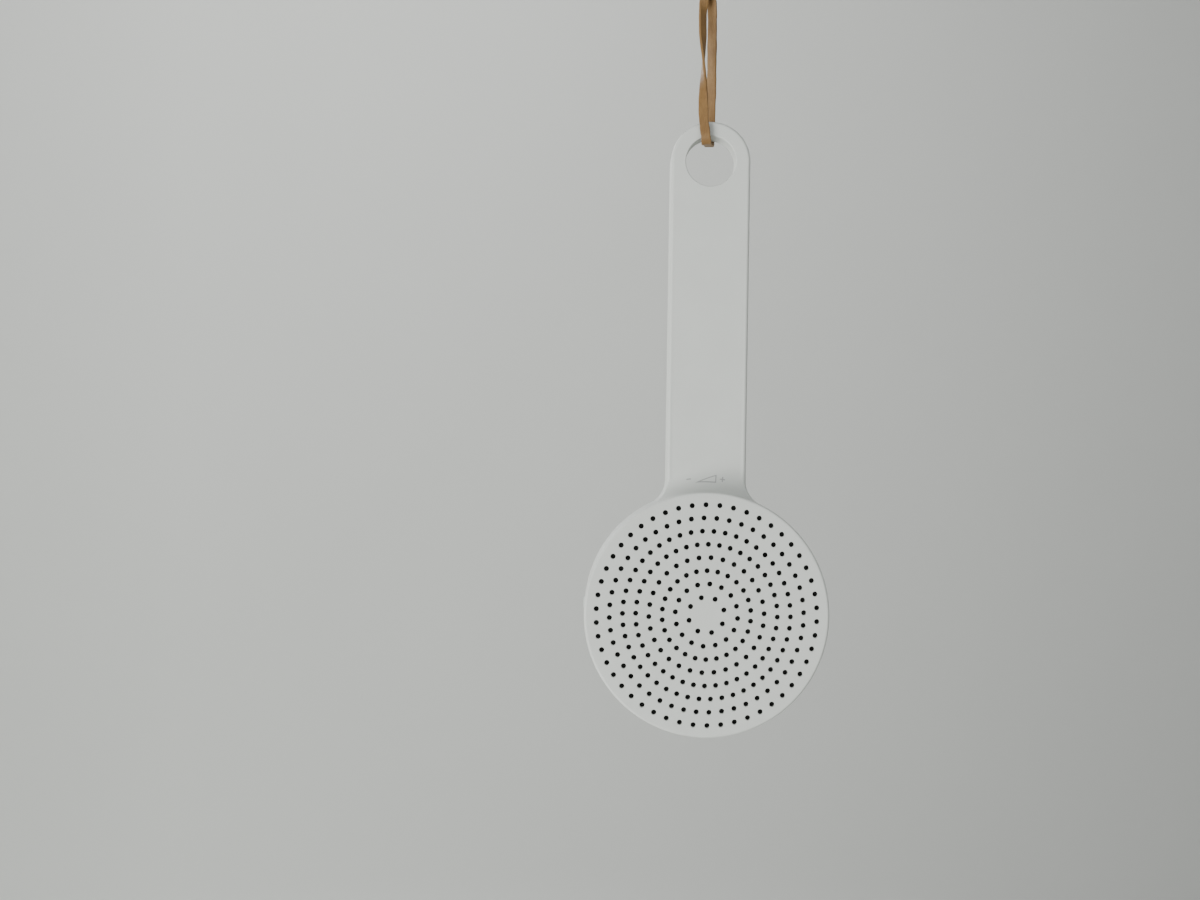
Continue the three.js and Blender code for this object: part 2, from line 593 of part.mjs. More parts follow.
// The lace comes down in front of the handle, goes back through the hole and up behind it. Each strand's first
// step runs almost level, so that it starts with its width across the hole.
const LACE_MIDDLE = [-0.3, 0, 6.95]
const LACE_FRONT = [
  [-0.7, -1.4, 6.85], [-0.8, -3, 6.5], [-0.85, -5, 6.05], [-1.05, -7.2, 6.0], [-1.25, -8.35, 7], [-1.5, -8.7, 8.8],
  [-1.9, -8.5, 11], [-2.3, -8.2, 14], [-2.5, -7.1, 20], [-2.5, -5.6, 27], [-2.5, -4.2, 34],
  [-2.6, -2.9, 42], [-2.6, -1.9, 50], [-2.3, -1.3, 56],
]
const LACE_REAR = [
  [0.05, 1.6, 7.05], [0.1, 3, 7.2], [0.15, 5, 7.35], [0.3, 6.9, 7.6], [0.4, 8.2, 8.8], [0.5, 8.5, 11],
  [0.6, 8.3, 15], [0.6, 7.2, 22], [0.6, 5.8, 29], [0.5, 4.3, 36], [0.4, 2.9, 43],
  [0.3, 1.9, 50], [0.1, 1.3, 56],
]
const KNOT_MIDDLE = [-1.1, 0, 60.6]
const KNOT_RADIUS = 4.6
const TAILS = [
  [[-2.3, -0.4, 63.6], [-3.2, -0.8, 67], [-4.6, -1.2, 70.5], [-6.4, -1.4, 73.5]],
  [[0.3, 0.4, 63.6], [1, 0.6, 67.5], [1.8, 0.6, 71.5], [2.4, 0.3, 75.5]],
]

function laceSection() {
  const [w, t] = [LACE_WIDTH / 2, LACE_THICKNESS / 2]
  const corner = 0.3
  const outline = [[w - corner, t], [corner - w, t], [-w, t - corner], [-w, corner - t],
    [corner - w, -t], [w - corner, -t], [w, corner - t], [w, t - corner]]
  return new THREE.Shape(outline.map(([across, through]) => new THREE.Vector2(through, across)))
}

function addLace() {
  const section = laceSection()
  const half = GAP / 2
  const [x, , z] = LACE_MIDDLE
  piece(speaker, 'strap_front', cable([[x, -half, z], ...LACE_FRONT], section, 26), leather())
  piece(speaker, 'strap_rear', cable([[x, half, z], ...LACE_REAR], section, 24), leather())
  const ball = arc(0, 0, KNOT_RADIUS, -Math.PI / 2, Math.PI / 2, 8).map((p) => [Math.max(p.x, 0), p.y * 0.9])
  const knot = new THREE.LatheGeometry(ball.map(([r, y]) => new THREE.Vector2(r, y)), 14)
  knot.rotateX(Math.PI / 2).scale(1, 0.82, 1).translate(...KNOT_MIDDLE)
  const tails = TAILS.map((route) => solid(cable(route, section, 5)))
  piece(speaker, 'strap_knot', union(solid(knot), ...tails), leather())
}

addCase()
addDial()
addDriver()
addElectronics()
addLeads()
addSideFittings()
addLace()

export default speaker
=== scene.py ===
"""A shower speaker: a round drum on a flat handle, with a perforated volume dial, hung by a leather lace.

Shapes are drawn in millimetres and turned into metres as their meshes are made. Camera and lights are in
metres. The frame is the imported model's: origin in the hanging hole, +Z up the handle, front towards -Y.
"""

import json
import math

import bmesh
import bpy
import numpy as np
from mathutils import Matrix, Vector
from mathutils.geometry import delaunay_2d_cdt


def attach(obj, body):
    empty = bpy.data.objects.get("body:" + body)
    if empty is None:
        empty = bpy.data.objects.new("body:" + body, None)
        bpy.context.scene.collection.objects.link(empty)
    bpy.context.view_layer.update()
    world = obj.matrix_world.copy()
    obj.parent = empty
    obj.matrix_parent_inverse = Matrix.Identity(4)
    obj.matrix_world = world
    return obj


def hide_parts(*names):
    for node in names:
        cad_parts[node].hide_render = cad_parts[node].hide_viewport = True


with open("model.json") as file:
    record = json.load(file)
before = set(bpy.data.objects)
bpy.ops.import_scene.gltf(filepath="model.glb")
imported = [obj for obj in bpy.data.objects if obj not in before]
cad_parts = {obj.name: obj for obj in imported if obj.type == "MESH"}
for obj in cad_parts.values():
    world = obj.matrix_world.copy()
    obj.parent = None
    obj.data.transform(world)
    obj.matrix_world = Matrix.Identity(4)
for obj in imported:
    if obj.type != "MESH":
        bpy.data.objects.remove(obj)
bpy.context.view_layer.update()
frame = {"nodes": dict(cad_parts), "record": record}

MM = 0.001

# ---- Dimensions in mm, the same as the CAD model's ----

DRUM_Z = -150.0  # the drum's axis, below the hanging hole
DRUM_RADIUS = 40.0
HANDLE_HALF_WIDTH = 13.2
FRONT = -7.0  # the handle's front face
BACK = 7.0
BAFFLE = -13.5  # the drum's front face, under the dial
BAFFLE_BACK = -11.3
DIAL_FRONT = -20.0
DIAL_BACK = -13.9
SEAM_FRONT = 0.0
SEAM_REAR = 0.3
SEAM_CHAMFER = 0.15
COVE_RADIUS = 6.5
CAVITY_RADIUS = 37.6
CAVITY_HALF_WIDTH = 10.8
CAVITY_DEPTH = 4.8
CAVITY_TOP_Z = -12.5  # the handle is solid round the hanging hole
CAVITY_BOTTOM_Z = DRUM_Z + 30
SCREW_BOSS_RADIUS = 2.9
SCREW_PILOT_RADIUS = 1.4
SCREW_CLEARANCE_RADIUS = 1.5
SCREW_PAD_RADIUS = 4.0
SCREW_COUNTERBORE = (2.8, 5.2)  # its radius, and how far back its floor is
BOARD_POST_RADIUS = 1.9
BOARD_POST_END = -7.3
BOARD_PILOT_RADIUS = 0.9
SEAL_GROOVE = (0.7, 1.7, 1.3)  # how far inside the outline it starts and ends, and its depth
DIAL_COLLAR = (32.4, 34.6)  # inner and outer radius of the ring that the dial turns round
COLLAR_FRONT = -16.3
PINION_ROOM_RADIUS = 6.5
DRIVER_APERTURE = 21.5
DRIVER_PILOT_RADIUS = 1.0
SHAFT_SEAL_RADIUS = 3.2
SHAFT_HOLE_RADIUS = 1.8
HOLE_RADIUS = 8.3
HOLE_RIM_ROUND = 0.4
HOLE_FLARE = (3.2, 5.4)  # the opening of the hole towards the back: its width and its depth
EDGE_ROUND_DRUM = 0.35  # of the case's edges: under the dial, on the handle and at the back
EDGE_ROUND_HANDLE = 1.1
EDGE_ROUND_REAR = 1.3
OUTLINE_FILLET = 8.5
FILLET_X = HANDLE_HALF_WIDTH + OUTLINE_FILLET
FILLET_RISE = math.sqrt((DRUM_RADIUS + OUTLINE_FILLET) ** 2 - FILLET_X**2)
FILLET_Z = DRUM_Z + FILLET_RISE
FILLET_SLOPE = math.atan2(FILLET_RISE, FILLET_X)
SIDE_Y = -9.0  # the depth at which button, light and charging socket sit in the side wall
LEFT_WALL = (-42, -34)  # the span along X of tools that cut through the wall
RIGHT_WALL = (32, 42)
BUTTON_Z = DRUM_Z + 2.8
BUTTON_SIZE = (3.0, 4.4, 1.4)  # width, length and corner radius
BUTTON_GAP = 0.3
LIGHT_Z = DRUM_Z - 1.3
LIGHT_HOLE_RADIUS = 0.8
COVER_SIZE = (7.0, 12.6, 1.5)  # width, length and corner radius
COVER_GAP = 0.3
COVER_SEAT_RADIUS = 38.6
COVER_BACK_RADIUS = 38.9
PORT_OPENING = (4.6, 10.6, 1.2)  # width, length and corner radius

# ---- Camera ----

CAMERA_PLACE = (-0.0355, -0.562, -0.0968)
CAMERA_ROLL = math.radians(-0.88)
LENS_MM = 50
SENSOR_MM = 36


def make_camera():
    """A level camera that looks along +Y from a little left, rolled so that the speaker leans right."""
    data = bpy.data.cameras.new("camera")
    data.lens = LENS_MM
    data.sensor_width = SENSOR_MM
    camera = bpy.data.objects.new("camera", data)
    camera.location = CAMERA_PLACE
    camera.rotation_euler = (math.radians(90), CAMERA_ROLL, 0)
    bpy.context.collection.objects.link(camera)
    bpy.context.scene.camera = camera


make_camera()

# ---- Mesh helpers ----


def ease(value, low, high):
    """0 below low, 1 above high, and a smooth rise between."""
    t = min(max((value - low) / (high - low), 0.0), 1.0)
    return t * t * (3 - 2 * t)


def mesh_object(name, points_mm, faces):
    """A linked mesh object of points in mm, with its faces turned outward."""
    mesh = bpy.data.meshes.new(name)
    mesh.from_pydata([Vector(p) * MM for p in points_mm], [], faces)
    shell = bmesh.new()
    shell.from_mesh(mesh)
    bmesh.ops.remove_doubles(shell, verts=shell.verts, dist=1e-7)
    bmesh.ops.recalc_face_normals(shell, faces=shell.faces)
    shell.to_mesh(mesh)
    shell.free()
    made = bpy.data.objects.new(name, mesh)
    bpy.context.collection.objects.link(made)
    return made


def smooth(made, angle):
    """Smooth shading, with sharp edges where faces meet at more than angle, and flat faces kept flat."""
    mesh = made.data
    mesh.shade_smooth()
    mesh.set_sharp_from_angle(angle=math.radians(angle))
    weighted = made.modifiers.new("weighted_normals", "WEIGHTED_NORMAL")
    weighted.keep_sharp = True
    weighted.weight = 60


def boolean(target, tool, operation="DIFFERENCE"):
    """Cuts or joins tool into target's mesh, and removes tool."""
    modifier = target.modifiers.new("boolean", "BOOLEAN")
    modifier.operation = operation
    modifier.solver = "MANIFOLD"
    modifier.object = tool
    graph = bpy.context.evaluated_depsgraph_get()
    result = bpy.data.meshes.new_from_object(target.evaluated_get(graph))
    target.modifiers.clear()
    target.data = result
    bpy.data.objects.remove(tool)
    return target


def ring_faces(first, second, count):
    """Quads between two rings of count points that start at these indices."""
    return [
        (first + i, first + (i + 1) % count, second + (i + 1) % count, second + i)
        for i in range(count)
    ]


def loft(name, rings, capped=True):
    """A closed skin through rings with the same number of points each."""
    count = len(rings[0])
    points = [p for ring in rings for p in ring]
    faces = []
    for k in range(len(rings) - 1):
        faces += ring_faces(k * count, (k + 1) * count, count)
    if capped:
        last = (len(rings) - 1) * count
        faces.append(tuple(range(count)))
        faces.append(tuple(range(last, last + count)))
    return mesh_object(name, points, faces)


def arc(x, z, radius, start, end, steps):
    """Points of an arc in a plane, from start to end in radians, both ends included."""
    angles = [start + (end - start) * i / steps for i in range(steps + 1)]
    return [(x + radius * math.cos(a), z + radius * math.sin(a)) for a in angles]


def circle(radius, count, x=0.0, z=0.0, phase=0.0):
    """Points of a full circle in a plane."""
    angles = [phase + math.tau * i / count for i in range(count)]
    return [(x + radius * math.cos(a), z + radius * math.sin(a)) for a in angles]


def at_depth(outline, y):
    """An outline of X and Z as points at one depth."""
    return [(x, y, z) for x, z in outline]


def turned(name, profile, x, z, count):
    """A profile of (radius, y), off the axis at both ends, turned round a line along Y and capped flat."""
    return loft(name, [at_depth(circle(radius, count, x, z), y) for radius, y in profile])


def rod_x(radius, x0, x1, y, z, count):
    """A cylinder along X, used to cut."""
    ring = circle(radius, count)
    return loft("tool", [[(x, y + a, z + b) for a, b in ring] for x in (x0, x1)])


def rod_y(radius, y0, y1, x, z, count):
    """A cylinder along Y, used to cut or to join."""
    return turned("tool", [(radius, y0), (radius, y1)], x, z, count)


def tube_y(inner, outer, y0, y1, x, z, count):
    """A ring of rectangular section round a line along Y, used to join."""
    profile = [(inner, y0), (outer, y0), (outer, y1), (inner, y1), (inner, y0)]
    rings = [at_depth(circle(radius, count, x, z), y) for radius, y in profile]
    return loft("tool", rings, capped=False)


def block(x0, x1, y0, y1, z0, z1):
    """A box, used to cut."""
    outline = [(x0, z0), (x1, z0), (x1, z1), (x0, z1)]
    return loft("tool", [at_depth(outline, y0), at_depth(outline, y1)])


def rounded_rectangle(width, height, radius, steps=8):
    """The outline of a rectangle with round corners, about its middle."""
    w, h = width / 2 - radius, height / 2 - radius
    corners = ((w, h), (-w, h), (-w, -h), (w, -h))
    return [
        point
        for i, (x, z) in enumerate(corners)
        for point in arc(x, z, radius, i * math.pi / 2, (i + 1) * math.pi / 2, steps)
    ]


def side_rings(outline_at, stations, z):
    """Rings that face along X: outline_at(i) is the (y, z) outline of station i, at that distance along X."""
    return [
        [(x, SIDE_Y + a, z + b) for a, b in outline_at(i)]
        for i, x in enumerate(stations)
    ]


def side_plate(width, length, radius, x0, x1, z):
    """A plate with round corners that faces along X, used to cut."""
    outline = rounded_rectangle(width, length, radius)
    return loft("tool", side_rings(lambda i: outline, (x0, x1), z))


def widened(size, gap):
    """A width, a length and a corner radius, with a gap added all round."""
    width, length, corner = size
    return width + 2 * gap, length + 2 * gap, corner + gap


def stepped(points, pitch):
    """A closed outline with its long sides cut into short steps, so that it can bend."""
    dense = []
    for (x0, z0), (x1, z1) in zip(points, points[1:] + points[:1]):
        pieces = max(1, round(math.dist((x0, z0), (x1, z1)) / pitch))
        dense += [(x0 + (x1 - x0) * k / pieces, z0 + (z1 - z0) * k / pieces) for k in range(pieces)]
    return dense


def closed_edges(start, count):
    """The edges of a closed loop of points numbered from start."""
    return [(start + i, start + (i + 1) % count) for i in range(count)]


def inside(polygon, points):
    """Which points lie inside a closed polygon."""
    corners = np.array(polygon)
    tested = np.array(points)
    result = np.zeros(len(tested), bool)
    for (x0, z0), (x1, z1) in zip(corners, np.roll(corners, -1, axis=0)):
        crosses = (z0 > tested[:, 1]) != (z1 > tested[:, 1])
        with np.errstate(divide="ignore", invalid="ignore"):
            where = x0 + (tested[:, 1] - z0) * (x1 - x0) / (z1 - z0)
        result ^= crosses & (tested[:, 0] < where)
    return result


def triangulate(loops, chains=()):
    """Triangles over the region inside the first loop and outside the others, with edges along the chains.

    The points of the loops and then of the chains are numbered in order, and the triangles use those numbers.
    """
    points, edges = [], []
    for loop in loops:
        edges += closed_edges(len(points), len(loop))
        points += loop
    for chain in chains:
        start = len(points)
        points += chain
        edges += [(start + i, start + i + 1) for i in range(len(chain) - 1)]
    spots, _, faces, sources, _, _ = delaunay_2d_cdt([Vector(p) for p in points], edges, [], 0, 1e-7)
    names = [ids[0] for ids in sources]
    middles = [sum((spots[i] for i in face), Vector((0, 0))) / 3 for face in faces]
    keep = inside(loops[0], middles)
    for loop in loops[1:]:
        keep &= ~inside(loop, middles)
    return [tuple(names[i] for i in face) for face, kept in zip(faces, keep) if kept]


# ---- The case ----


def paddle(inset):
    """The outline of handle and drum, moved in from the outer surface by inset."""
    fillet = OUTLINE_FILLET + inset
    drum_start, drum_end = math.pi - FILLET_SLOPE, math.tau + FILLET_SLOPE
    return (
        arc(0, 0, HANDLE_HALF_WIDTH - inset, 0, math.pi, 64)
        + arc(-FILLET_X, FILLET_Z, fillet, 0, -FILLET_SLOPE, 14)
        + arc(0, DRUM_Z, DRUM_RADIUS - inset, drum_start, drum_end, 200)[1:]
        + arc(FILLET_X, FILLET_Z, fillet, math.pi + FILLET_SLOPE, math.pi, 14)[1:]
    )


def front_level(x, z):
    """How far the front housing stands out from the mid-plane: the handle, the cove and the drum."""
    radius = math.hypot(x, z - DRUM_Z)
    if radius <= DRUM_RADIUS:
        return -BAFFLE
    across = DRUM_RADIUS + COVE_RADIUS - radius
    if across <= 0:
        return -FRONT
    return -BAFFLE - math.sqrt(max(COVE_RADIUS**2 - across**2, 0.0))


def front_edge_round(x, z):
    """The rounding of the front edge: small under the dial, larger along the handle."""
    beyond_drum = math.hypot(x, z - DRUM_Z) - DRUM_RADIUS
    return EDGE_ROUND_DRUM + (EDGE_ROUND_HANDLE - EDGE_ROUND_DRUM) * ease(beyond_drum, 0.0, COVE_RADIUS)


def rear_level(x, z):
    """How far the rear housing stands out from the mid-plane, the same everywhere."""
    return BACK


def rear_edge_round(x, z):
    """The rounding of the rear edge, the same everywhere."""
    return EDGE_ROUND_REAR


def rounded_level(level, edge_round, x, z, inset):
    """The height of the skin at a point this far inside the outline."""
    radius = edge_round(x, z)
    drop = 0.0
    if inset < radius:
        drop = radius - math.sqrt(radius**2 - (radius - inset) ** 2)
    return level(x, z) - drop


def cove_lines(limit):
    """Lines of points round the drum that follow the cove, inside the outline limit."""
    steps = 14
    angles = np.radians(np.arange(-60, 60.01, 1.25))
    lines = []
    for k in range(steps + 1):
        radius = DRUM_RADIUS + COVE_RADIUS * (1 - math.cos(math.pi / 2 * k / steps))
        line = [(radius * math.sin(a), DRUM_Z + radius * math.cos(a)) for a in angles]
        kept = inside(limit, line)
        lines.append([point for point, is_inside in zip(line, kept) if is_inside])
    return [line for line in lines if len(line) > 1]


def half_case(name, side, seam, level, edge_round, insets, rim, chains=()):
    """One half of the case as a solid: seam plane, side wall, rounded edge, face and hanging hole.

    side is -1 for the front half and 1 for the rear half. insets are the steps of the rounded edge. rim
    is the width, the depth and the number of steps of the hole's rim. chains are lines of points in the face.
    """
    count = len(paddle(0))
    hole_count = 72
    points, faces = [], []

    def add_ring(ring):
        """Adds points, and returns the number of the first."""
        points.extend(ring)
        return len(points) - len(ring)

    rings = [
        add_ring(at_depth(paddle(SEAM_CHAMFER), side * seam)),
        add_ring(at_depth(paddle(0), side * (seam + SEAM_CHAMFER))),
    ]
    for inset in insets:
        ring = [(x, side * rounded_level(level, edge_round, x, z, inset), z) for x, z in paddle(inset)]
        rings.append(add_ring(ring))
    for low, high in zip(rings, rings[1:]):
        faces += ring_faces(low, high, count)

    hole_profile = [(HOLE_RADIUS + SEAM_CHAMFER, seam), (HOLE_RADIUS, seam + SEAM_CHAMFER)]
    rim_width, rim_depth, rim_steps = rim
    for step in range(rim_steps + 1):
        turn = math.pi / 2 * step / rim_steps
        radius = HOLE_RADIUS + rim_width * (1 - math.cos(turn))
        hole_profile.append((radius, BACK - rim_depth * (1 - math.sin(turn))))
    hole_rings = [
        add_ring(at_depth(circle(radius, hole_count), side * height))
        for radius, height in hole_profile
    ]
    for low, high in zip(hole_rings, hole_rings[1:]):
        faces += ring_faces(low, high, hole_count)

    def fill_face(outline, outline_start, rim_radius, hole_start, lines):
        """Fills the face between an outline and the hole, with edges along the lines."""
        chain_start = [add_ring([(x, side * level(x, z), z) for x, z in line]) for line in lines]
        numbers = list(range(outline_start, outline_start + count))
        numbers += range(hole_start, hole_start + hole_count)
        for start, line in zip(chain_start, lines):
            numbers += range(start, start + len(line))
        flat = triangulate([outline, circle(rim_radius, hole_count)], lines)
        faces.extend(tuple(numbers[i] for i in face) for face in flat)

    fill_face(paddle(insets[-1]), rings[-1], hole_profile[-1][0], hole_rings[-1], chains)
    fill_face(paddle(SEAM_CHAMFER), rings[0], hole_profile[0][0], hole_rings[0], [])
    return mesh_object(name, points, faces)


def around_drum(radius, degrees):
    """A point of X and Z at this radius and direction from the drum's axis."""
    angle = math.radians(degrees)
    return radius * math.cos(angle), DRUM_Z + radius * math.sin(angle)


DRUM_SCREWS = [around_drum(33.2, degrees) for degrees in (38, 142, 218, 322)]
HANDLE_SCREWS = [(0, -19.5), (0, -38)]
CASE_SCREWS = DRUM_SCREWS + HANDLE_SCREWS
BOARD_SCREWS = [around_drum(29.5, degrees) for degrees in (58, 200, 340)]
DRIVER_SCREWS = [around_drum(23.9, degrees) for degrees in (45, 135, 225, 315)]
PINION = around_drum(31, 75)


def hollow(made, drum_span, handle_span):
    """Cuts the drum's round room and the handle's long one out of half the case, each over its span of Y."""
    boolean(made, rod_y(CAVITY_RADIUS, *drum_span, 0, DRUM_Z, 160))
    boolean(made, block(-CAVITY_HALF_WIDTH, CAVITY_HALF_WIDTH, *handle_span, CAVITY_BOTTOM_Z, CAVITY_TOP_Z))


def front_housing():
    """The front half: handle, cove, drum wall, baffle with its collar, bosses and side openings."""
    insets = (0.0, 0.05, 0.12, 0.22, 0.35, 0.5, 0.68, 0.88, EDGE_ROUND_HANDLE)
    clear_of_edge = paddle(EDGE_ROUND_HANDLE + 0.2)
    made = half_case(
        "front_housing_shell", -1, SEAM_FRONT, front_level, front_edge_round, insets,
        (HOLE_RIM_ROUND, HOLE_RIM_ROUND, 6), cove_lines(clear_of_edge),
    )
    hollow(made, (BAFFLE_BACK, 2), (-CAVITY_DEPTH, 2))
    collar = tube_y(*DIAL_COLLAR, BAFFLE + 1, COLLAR_FRONT, 0, DRUM_Z, 128)
    boolean(collar, rod_y(PINION_ROOM_RADIUS, BAFFLE, -19, *PINION, 64))
    boolean(made, collar, "UNION")
    for root, places in ((BAFFLE + 1, DRUM_SCREWS), (FRONT + 1, HANDLE_SCREWS)):
        for x, z in places:
            boolean(made, rod_y(SCREW_BOSS_RADIUS, root, 3, x, z, 32), "UNION")
            boolean(made, rod_y(SCREW_PILOT_RADIUS, FRONT + 1.5, 4, x, z, 24))
    for x, z in BOARD_SCREWS:
        boolean(made, rod_y(BOARD_POST_RADIUS, BAFFLE + 1, BOARD_POST_END, x, z, 24), "UNION")
        boolean(made, rod_y(BOARD_PILOT_RADIUS, -11, -6, x, z, 16))
    boolean(made, rod_y(DRIVER_APERTURE, -18, -9, 0, DRUM_Z, 96))
    boolean(made, rod_y(SHAFT_SEAL_RADIUS, BAFFLE - 1, BAFFLE + 1.5, *PINION, 32))
    boolean(made, rod_y(SHAFT_HOLE_RADIUS, -15, -10, *PINION, 24))
    for x, z in DRIVER_SCREWS:
        boolean(made, rod_y(DRIVER_PILOT_RADIUS, BAFFLE + 0.6, -10, x, z, 16))
    boolean(made, side_plate(*widened(BUTTON_SIZE, BUTTON_GAP), *LEFT_WALL, BUTTON_Z))
    boolean(made, rod_x(LIGHT_HOLE_RADIUS, *LEFT_WALL, SIDE_Y, LIGHT_Z, 24))
    seat = side_plate(*widened(COVER_SIZE, COVER_GAP), *RIGHT_WALL, DRUM_Z)
    boolean(seat, rod_y(COVER_SEAT_RADIUS, -20, 2, 0, DRUM_Z, 200))
    boolean(made, seat)
    boolean(made, side_plate(*PORT_OPENING, 30, 42, DRUM_Z))
    return made


def rear_housing():
    """The rear half: a flat back, the seal's groove and the screw pads with their counterbores."""
    insets = (0.0, 0.06, 0.16, 0.3, 0.48, 0.72, 1.0, EDGE_ROUND_REAR)
    made = half_case(
        "rear_housing_shell", 1, SEAM_REAR, rear_level, rear_edge_round, insets, (*HOLE_FLARE, 18),
    )
    hollow(made, (-1, CAVITY_DEPTH), (-1, CAVITY_DEPTH))
    counterbore_radius, counterbore_floor = SCREW_COUNTERBORE
    for x, z in CASE_SCREWS:
        boolean(made, rod_y(SCREW_PAD_RADIUS, 3.3, 6, x, z, 32), "UNION")
        boolean(made, rod_y(SCREW_CLEARANCE_RADIUS, -2, 9, x, z, 24))
        boolean(made, rod_y(counterbore_radius, counterbore_floor, 9, x, z, 40))
    outer, inner, depth = SEAL_GROOVE
    groove = loft("tool", [at_depth(paddle(outer), -1), at_depth(paddle(outer), depth)])
    boolean(groove, loft("tool", [at_depth(paddle(inner), -2), at_depth(paddle(inner), 2)]))
    boolean(made, groove)
    return made


# ---- The volume dial ----

SOUND_HOLES_PER_RING = (8, 16, 26, 30, 40, 46, 48, 50)
FIRST_RING = 5.9
RING_PITCH = 4.29
DIAL_INDEX = math.radians(62.3)  # every ring of holes starts on this radius
SOUND_HOLE = 0.86
DIAL_EDGE_ROUND = 0.9
DIAL_INNER_RADIUS = 38.4
DIAL_THICKNESS = 1.6


def sound_hole_places():
    """The middle of every sound hole."""
    places = []
    for ring, number in enumerate(SOUND_HOLES_PER_RING):
        places += circle(FIRST_RING + RING_PITCH * ring, number, 0, DRUM_Z, DIAL_INDEX)
    return places


def volume_dial():
    """A cap with a rounded edge, and round holes through its face whose rims are slightly broken."""
    steps = 14
    turns = 192
    places = sound_hole_places()
    flat_radius = DRUM_RADIUS - DIAL_EDGE_ROUND
    rim = []
    for angle in np.linspace(0, math.pi / 2, 8):
        depth = DIAL_EDGE_ROUND * (1 - math.cos(angle))
        rim.append((flat_radius + DIAL_EDGE_ROUND * math.sin(angle), DIAL_FRONT + depth))
    rim += [(DRUM_RADIUS, DIAL_BACK - 0.25), (DRUM_RADIUS - 0.07, DIAL_BACK - 0.07)]
    rim += [(DRUM_RADIUS - 0.25, DIAL_BACK)]
    rim += [(DIAL_INNER_RADIUS + 0.15, DIAL_BACK), (DIAL_INNER_RADIUS, DIAL_BACK - 0.15)]
    rim += [(DIAL_INNER_RADIUS, DIAL_FRONT + DIAL_THICKNESS)]
    hole_profile = [(0.18, 0.0), (0.10, 0.02), (0.03, 0.08), (0.0, 0.18), (0.0, DIAL_THICKNESS)]

    points, faces = [], []
    rim_start = []
    for radius, y in rim:
        rim_start.append(len(points))
        points += at_depth(circle(radius, turns, 0, DRUM_Z), y)
    for low, high in zip(rim_start, rim_start[1:]):
        faces += ring_faces(low, high, turns)
    hole_starts = []
    for x, z in places:
        starts = []
        for extra, depth in hole_profile:
            starts.append(len(points))
            points += at_depth(circle(SOUND_HOLE + extra, steps, x, z), DIAL_FRONT + depth)
        for low, high in zip(starts, starts[1:]):
            faces += ring_faces(low, high, steps)
        hole_starts.append(starts)

    for end in (0, -1):
        numbers = list(range(rim_start[end], rim_start[end] + turns))
        outer = [(points[i][0], points[i][2]) for i in numbers]
        loops = []
        for starts in hole_starts:
            loop = range(starts[end], starts[end] + steps)
            numbers += loop
            loops.append([(points[i][0], points[i][2]) for i in loop])
        faces += perforated_face(outer, loops, places, numbers)
    return mesh_object("volume_dial_cap", points, faces)


def perforated_face(outer, loops, places, numbers):
    """Triangles between a round outline and many small round loops about places."""
    points, edges = [], []
    for loop in (outer, *loops):
        edges += closed_edges(len(points), len(loop))
        points += loop
    spots, _, faces, sources, _, _ = delaunay_2d_cdt([Vector(p) for p in points], edges, [], 0, 1e-7)
    middles = np.array([[sum(spots[i][k] for i in face) / 3 for k in (0, 1)] for face in faces])
    nearest = np.min(np.linalg.norm(middles[:, None] - np.array(places)[None], axis=2), axis=1)
    hole_radius = math.dist(loops[0][0], places[0])
    keep = nearest > hole_radius * math.cos(math.pi / len(loops[0])) - 1e-6
    return [tuple(numbers[sources[i][0]] for i in face) for face, kept in zip(faces, keep) if kept]


# ---- Button, light and charging cover, on the drum's side wall ----


def power_button():
    """A small pill that reaches in through the wall, with a softly crowned face."""
    stations = [(-36.8, 0), (-39.6, 0), (-39.85, 0.03), (-40.03, 0.13)]
    stations += [(-40.13, 0.3), (-40.18, 0.6), (-40.2, 1.0)]

    def outline(i):
        """The pill at one station, smaller all round by the station's inset."""
        return rounded_rectangle(*widened(BUTTON_SIZE, -stations[i][1]))

    return loft("power_button_cap", side_rings(outline, [x for x, _ in stations], BUTTON_Z))


def light_lens():
    """The domed end of the light pipe."""
    stations = [(-36, 0.5), (-39.75, 0.5), (-39.9, 0.46), (-39.98, 0.36), (-40.02, 0.2), (-40.03, 0.08)]
    rings = [[(x, SIDE_Y + a, LIGHT_Z + b) for a, b in circle(r, 32)] for x, r in stations]
    return loft("status_light_lens", rings)


def charging_cover():
    """A cover that follows the drum's wall, with soft edges and a plug behind."""
    plug_width, plug_length, plug_corner = 3.8, 9.6, 0.9
    plug_insets = (0.25, 0, 0)

    def bent(radius, inset, scale=1.0):
        """The cover's outline, smaller by inset and then by scale, wrapped round the drum's axis."""
        size = [scale * value for value in widened(COVER_SIZE, -inset)]
        outline = rounded_rectangle(*size, 10)
        return [(math.sqrt(radius**2 - z**2), SIDE_Y + y, DRUM_Z + z) for y, z in outline]

    def plug_outline(i):
        """The plug's outline at one station."""
        taper = 2 * plug_insets[i]
        return rounded_rectangle(plug_width - taper, plug_length - taper, plug_corner)

    back = COVER_BACK_RADIUS
    rings = [bent(back, 0, scale) for scale in (0.25, 0.55, 0.8)]
    rings += [bent(back, 0.15), bent(back + 0.07, 0.04), bent(back + 0.2, 0)]
    rings += [bent(39.65, 0), bent(39.84, 0.05), bent(39.95, 0.17), bent(DRUM_RADIUS, 0.35)]
    rings += [bent(DRUM_RADIUS, 0.35, scale) for scale in (0.8, 0.55, 0.25)]
    plug = loft("tool", side_rings(plug_outline, (37.4, 37.7, 39.3), DRUM_Z))
    return boolean(loft("charging_cover", rings), plug, "UNION")


